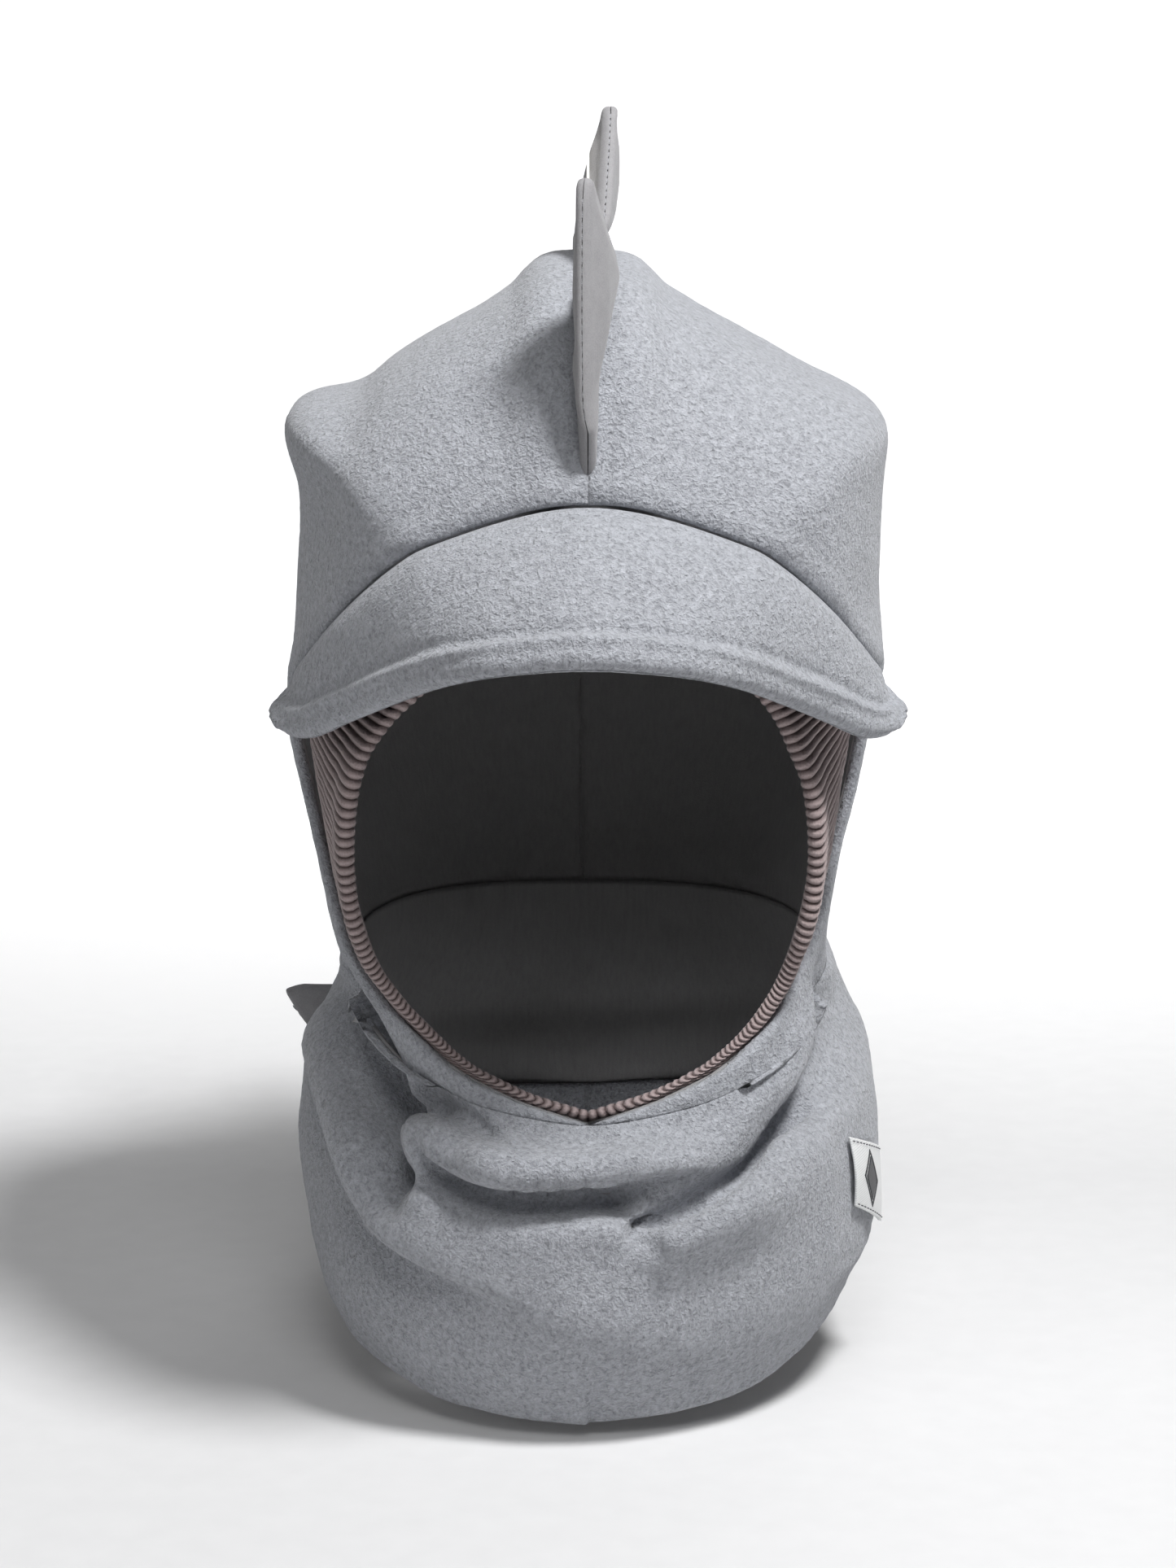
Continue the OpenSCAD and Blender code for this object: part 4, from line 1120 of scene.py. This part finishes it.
def fin_layers(nm, o, e, n, x, base, lean, twist, tall=1.0, blunt=0.07):
    """Two felt layers, the thread that joins them, in the frame o, e (along the seam), n (away from it), x (to the right)."""
    nu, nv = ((44, 64))
    out = []

    def place(t, h, xx):
        # lean to a side with height, turn so that one face shows, and a soft bend
        s = xx + lean * (np.maximum(h, 0) / FH) ** 0.9 + (twist[0] + (twist[1] - twist[0]) * t / FL) * smooth(h, -1, 12)
        return o + e * t[..., None] + n * (h * np.where(h > 0, tall, 1.0))[..., None] + x * s[..., None]
    uu = (1 - np.cos(np.linspace(0, np.pi, nu + 1))) / 2
    vv = 1 - (1 - np.linspace(0, 1, nv + 1)) ** 1.35
    u, v = np.meshgrid(uu, vv, indexing="ij")
    # rows from the ridge up to the rounded tip; below the seam line the front edge runs on forward
    def outline(h):
        w = np.clip(h / FH, 0, 1)
        close = np.sqrt(np.clip(1 - np.clip((w - 1 + blunt) / blunt, 0, 1) ** 2, 0, 1))
        f, g = fin_lead(w) + 0.42 * np.minimum(h, 0), fin_trail(w) - 0.1 * np.minimum(h, 0)
        m_ = (f + g) / 2
        f, g = m_ + (f - m_) * close, m_ + (g - m_) * close
        return np.minimum(f, g - 0.05), g
    hb = np.full(u.shape, -3.0)
    for _ in range(6):
        fa, ga = outline(hb)
        hb = 0.5 * hb + 0.5 * (np.interp(fa + (ga - fa) * u, base[0], base[1]) - 1.3)
    h = hb + (FH - hb) * v
    a, b = outline(h)
    t = a + (b - a) * u
    edge = np.maximum(np.minimum(np.minimum((t - a) * 0.66, b - t), (FH - h) * 1.3), 0)
    centre = lut(np.clip(h / FH, 0, 1), [[0, 2.9], [0.15, 4.2], [0.45, 5.0], [0.7, 4.4], [1, 2.4]])
    th = 2.1 * np.sqrt(1 - (1 - np.clip(edge / 2.2, 0, 1)) ** 2) + (centre - 2.1) * smooth(edge, 0.3, 11)
    for sx, side in ((-1, "left"), (1, "right")):
        P0 = place(t, h, 0 * t)
        gap = 0.16
        wob = 0.10 * noise(P0, 7, 61 + sx) + 0.04 * noise(P0, 1.6, 63 + sx)
        X = gap + th + wob * smooth(edge, 0, 2)
        A = place(t, h, sx * X)
        B = place(t, h, np.full(t.shape, sx * gap * 0.9))
        V, F = slab(A, B, 0.0)
        p = piece(f"{nm}_felt_{side}", V, facing_out(V, F, V.mean(0)), FELT)
        out.append(p)
    # thread: short stitches laid in the groove between the layers
    Vs, Fs, c = [], [], 0
    for edge_fn, sgn, n0, n1 in ((fin_lead, 1, 0.04, 0.955), (fin_trail, -1, 0.04, 0.955)):
        vs = np.linspace(n0, n1, 400)
        L = np.stack([edge_fn(vs), FH * vs], -1)
        acc = np.concatenate([[0], np.cumsum(np.linalg.norm(np.diff(L, axis=0), axis=1))])
        k = 0.6
        while k + 2.3 < acc[-1]:
            pts = np.stack([np.interp(np.linspace(k, k + 2.3, 6), acc, L[:, j]) for j in (0, 1)], -1)
            tt, hh = pts[:, 0] + sgn * 0.55, pts[:, 1]
            cc = place(tt, hh, 0 * tt)
            ax = unit(cc[-1] - cc[0])
            s1 = unit(np.cross(ax, x))
            r = 0.28 * np.sqrt(np.clip(1 - (np.linspace(-1, 1, 6)) ** 2 * 0.85, 0, 1))
            for i in range(6):
                for w in range(6):
                    g = 2 * np.pi * w / 6
                    Vs.append(cc[i] + (s1 * math.cos(g) + x * math.sin(g)) * r[i])
            for i in range(5):
                for w in range(6):
                    w2 = (w + 1) % 6
                    Fs.append([c + i * 6 + w, c + i * 6 + w2, c + (i + 1) * 6 + w2, c + (i + 1) * 6 + w])
            Fs.append([c + w for w in (0, 5, 4, 3)])
            Fs.append([c + w for w in (0, 3, 2, 1)])
            Fs.append([c + 30 + w for w in (0, 1, 2, 3)])
            Fs.append([c + 30 + w for w in (0, 3, 4, 5)])
            c += 36
            k += 3.1
    st = piece(f"{nm}_thread", np.array(Vs), [np.array(Fs)], THREAD)
    out.append(st)
    return out


X = np.array([1.0, 0, 0])
LEAN = [-9.5, 7.5, 1.0, 1.5]
TWIST = [(-0.6, 9.0), (3.5, -1.0), (0.4, -0.4), (-0.5, 1.0)]
TALL = [1.0, 0.90, 0.97, 1.0]
for k in range(4):
    o, e, n, base = spike_frame(k)
    if k == 0:
        o, base = o + e * 2.5, (base[0] - 2.5, base[1])
    L, R, S = fin_layers(f"spike_{k + 1}", o, e, n, X, base, LEAN[k], TWIST[k], TALL[k])
    for p, node in ((L, f"spike_{k + 1}_left"), (R, f"spike_{k + 1}_right"), (S, f"spike_{k + 1}_stitching")):
        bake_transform(p)
    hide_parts(f"spike_{k + 1}_left", *(["spike_seam_tabs"] if k == 0 else []))
    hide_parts(f"spike_{k + 1}_right")
    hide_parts(f"spike_{k + 1}_stitching")

# nape spike: seam upright, height pointing to the left
_a = math.radians(188)
no = np.array([-57.5, 85.0, -158.0])
ne = np.array([0, 0, 1.0])
nn_ = np.array([math.cos(_a), math.sin(_a), 0])
nx_ = np.array([-math.sin(_a), math.cos(_a), 0])
bt = np.linspace(-4, 62, 30)
L, R, S = fin_layers("nape_spike", no, ne, nn_, nx_, (bt, np.full(30, -3.0)), -1.0, (0, 0), 1.0, 0.16)
for p in (L, R, S):
    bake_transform(p)
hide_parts("nape_spike_left")
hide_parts("nape_spike_right")
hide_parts("nape_spike_stitching")


# ---------------------------------------------------------------- label
def label_pt(u, v, o):
    """A place on the patch: u from the front edge to the back, v down, o off the cloth."""
    ph = 51.5 + 17.0 * u
    return cowl_pt(ph, -111.5 - 11 * u - (21 + 3 * u) * v, -o)


def label_sheet(nm, o1, o2, U_, V_, mat, dress=None):
    A, B = label_pt(U_, V_, o1), label_pt(U_, V_, o2)
    if dress is not None:
        n = unit(A - B)
        A, B = A + n * dress[..., None], B + n * dress[..., None]
    Vv, F = slab(A, B, 0.10)
    return piece(nm, Vv, facing_out(Vv, F, Vv.mean(0)), mat)


_u, _v = np.meshgrid(np.linspace(0, 1, 61), np.linspace(0, 1, 49), indexing="ij")
# the patch lifts a little between its sewn edges and puckers along them
_lift = 0.55 * np.sin(np.pi * _v) * (0.5 + 0.5 * np.cos(np.pi * _u)) + 0.12 * np.sin(_u * 46) * (np.abs(_v - 0.5) * 2) ** 6
tape = label_sheet("label_cloth", 1.75, 1.05, _u, _v, TAPE, _lift)


def on_tape(uu, vv):
    return 0.55 * np.sin(np.pi * vv) * (0.5 + 0.5 * np.cos(np.pi * uu))


def spot(nm, uc, vc, ru, rv, k, inner=0.0):
    """A woven diamond, or its outline where inner is above 0. k is its squareness."""
    rr, gg = np.meshgrid(np.linspace(max(inner, 0.02), 1, 9), np.linspace(0, 2 * np.pi, 97), indexing="ij")
    q = 1 / (np.abs(np.cos(gg)) ** k + np.abs(np.sin(gg)) ** k) ** (1 / k)
    U_, V_ = uc + ru * rr * q * np.cos(gg), vc + rv * rr * q * np.sin(gg)
    return label_sheet(nm, 1.98, 1.72, U_, V_, INK, on_tape(U_, V_))


mark = spot("label_diamond", 0.5, 0.5, 0.19, 0.30, 1.0)
ring = spot("label_outline", 0.5, 0.5, 0.26, 0.40, 1.0, 0.88)
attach(tape, "hood")
for b_ in (mark, ring):
    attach(b_, "hood")
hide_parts("label_tape")
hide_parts("label_emblem")
Vs, Fs, c = [], [], 0
for v0 in (0.045, 0.955):
    for k in range(11):
        cc = np.stack([label_pt(np.array(0.03 + 0.0885 * k + q), np.array(v0), 2.0 + 0.22 * math.sin(math.pi * q / 0.062)) for q in np.linspace(0, 0.062, 6)])
        for i in range(6):
            for w in range(6):
                g = 2 * np.pi * w / 6
                Vs.append(cc[i] + np.array([math.cos(g) * 0.4, math.cos(g) * 0.6, math.sin(g)]) * 0.24 * math.sqrt(max(0.08, 1 - (2 * i / 5 - 1) ** 2 * 0.9)))
        for i in range(5):
            for w in range(6):
                Fs.append([c + i * 6 + w, c + i * 6 + (w + 1) % 6, c + (i + 1) * 6 + (w + 1) % 6, c + (i + 1) * 6 + w])
        Fs += [[c, c + 5, c + 4, c + 3], [c, c + 3, c + 2, c + 1], [c + 30, c + 31, c + 32, c + 33], [c + 30, c + 33, c + 34, c + 35]]
        c += 36
lst = piece("label_thread", np.array(Vs), [np.array(Fs)], THREAD_DARK)
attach(lst, "hood")
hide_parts("label_stitches")

# the sealed inner pieces keep their CAD shape
for nm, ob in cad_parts.items():
    if "interlining" in nm:
        for s in ob.material_slots:
            s.material = CORE

# ---------------------------------------------------------------- studio
floor_z = -0.190
nx, ny = 60, 60
gx, gy = np.meshgrid(np.linspace(-3000, 3000, nx + 1), np.linspace(-2600, 2900, ny + 1), indexing="ij")
gz = np.where(gy > 1900, (1 - np.cos(np.clip((gy - 1900) / 1000 * np.pi / 2, 0, np.pi / 2))) * 2200, 0) + floor_z * 1000
V = np.stack([gx, gy, gz], -1).reshape(-1, 3)
sm = Mat("backdrop_paper", (0.93, 0.93, 0.935, 1), 0.9, spec=0.1)
pap = sm.noise(90, 3, 0.5)
sm.bump(pap, 0.05, 0.001)
sm.b.inputs["Emission Color"].default_value = (1, 1, 1, 1)
wall = sm.node("ShaderNodeSeparateXYZ")
sm.link(sm.co, wall.inputs["Vector"])
sm.link(sm.math("ADD", 0.02, sm.math("MULTIPLY", sm.math("MINIMUM", sm.math("MAXIMUM", sm.math("MULTIPLY", sm.math("ADD", wall.outputs["Y"], -0.15), 1.6), 0.0), 1.0), 0.72)), sm.b.inputs["Emission Strength"])
floor = piece("backdrop", V, [quads(nx, ny)[:, ::-1]], sm.done(sm.ramp(pap, [(0.0, (0.69, 0.69, 0.695, 1)), (1.0, (0.74, 0.74, 0.745, 1))])))

world = bpy.data.worlds.new("studio") if bpy.context.scene.world is None else bpy.context.scene.world
bpy.context.scene.world = world
world.use_nodes = True
bg = world.node_tree.nodes["Background"]
bg.inputs["Color"].default_value = (0.98, 0.985, 1.0, 1)
bg.inputs["Strength"].default_value = 0.05


def lamp(name, at, to, size, power, colour=(1, 1, 1)):
    l = bpy.data.lights.new(name, "AREA")
    l.shape = "DISK"
    l.size = size
    l.energy = power
    l.color = colour
    o = bpy.data.objects.new(name, l)
    bpy.context.collection.objects.link(o)
    v = np.array(to) - np.array(at)
    from mathutils import Vector
    o.location = at
    o.rotation_euler = Vector(v).to_track_quat("-Z", "Y").to_euler()
    return o


lamp("key", (0.42, -0.38, 1.12), (0, 0, 0.05), 0.27, 18.5)
lamp("front", (0.05, -1.25, 1.45), (0, 0, 0.02), 0.8, 8.5)
lamp("fill", (-1.3, -1.1, 0.7), (0, 0, 0.0), 0.8, 2.4)
lamp("rim", (0.4, 1.3, 1.4), (0, 0, 0.05), 0.9, 2.5)

cam = bpy.data.cameras.new("camera")
cam.lens = 89.67
cam.sensor_width = 36
cam.clip_start = 0.05
cam.clip_end = 20
co = bpy.data.objects.new("camera", cam)
bpy.context.collection.objects.link(co)
from mathutils import Vector
co.location = tuple(CAM * 0.001)
co.rotation_euler = Vector(FWD).to_track_quat("-Z", "Y").to_euler()
bpy.context.scene.camera = co
bpy.context.scene.view_settings.view_transform = "Standard"
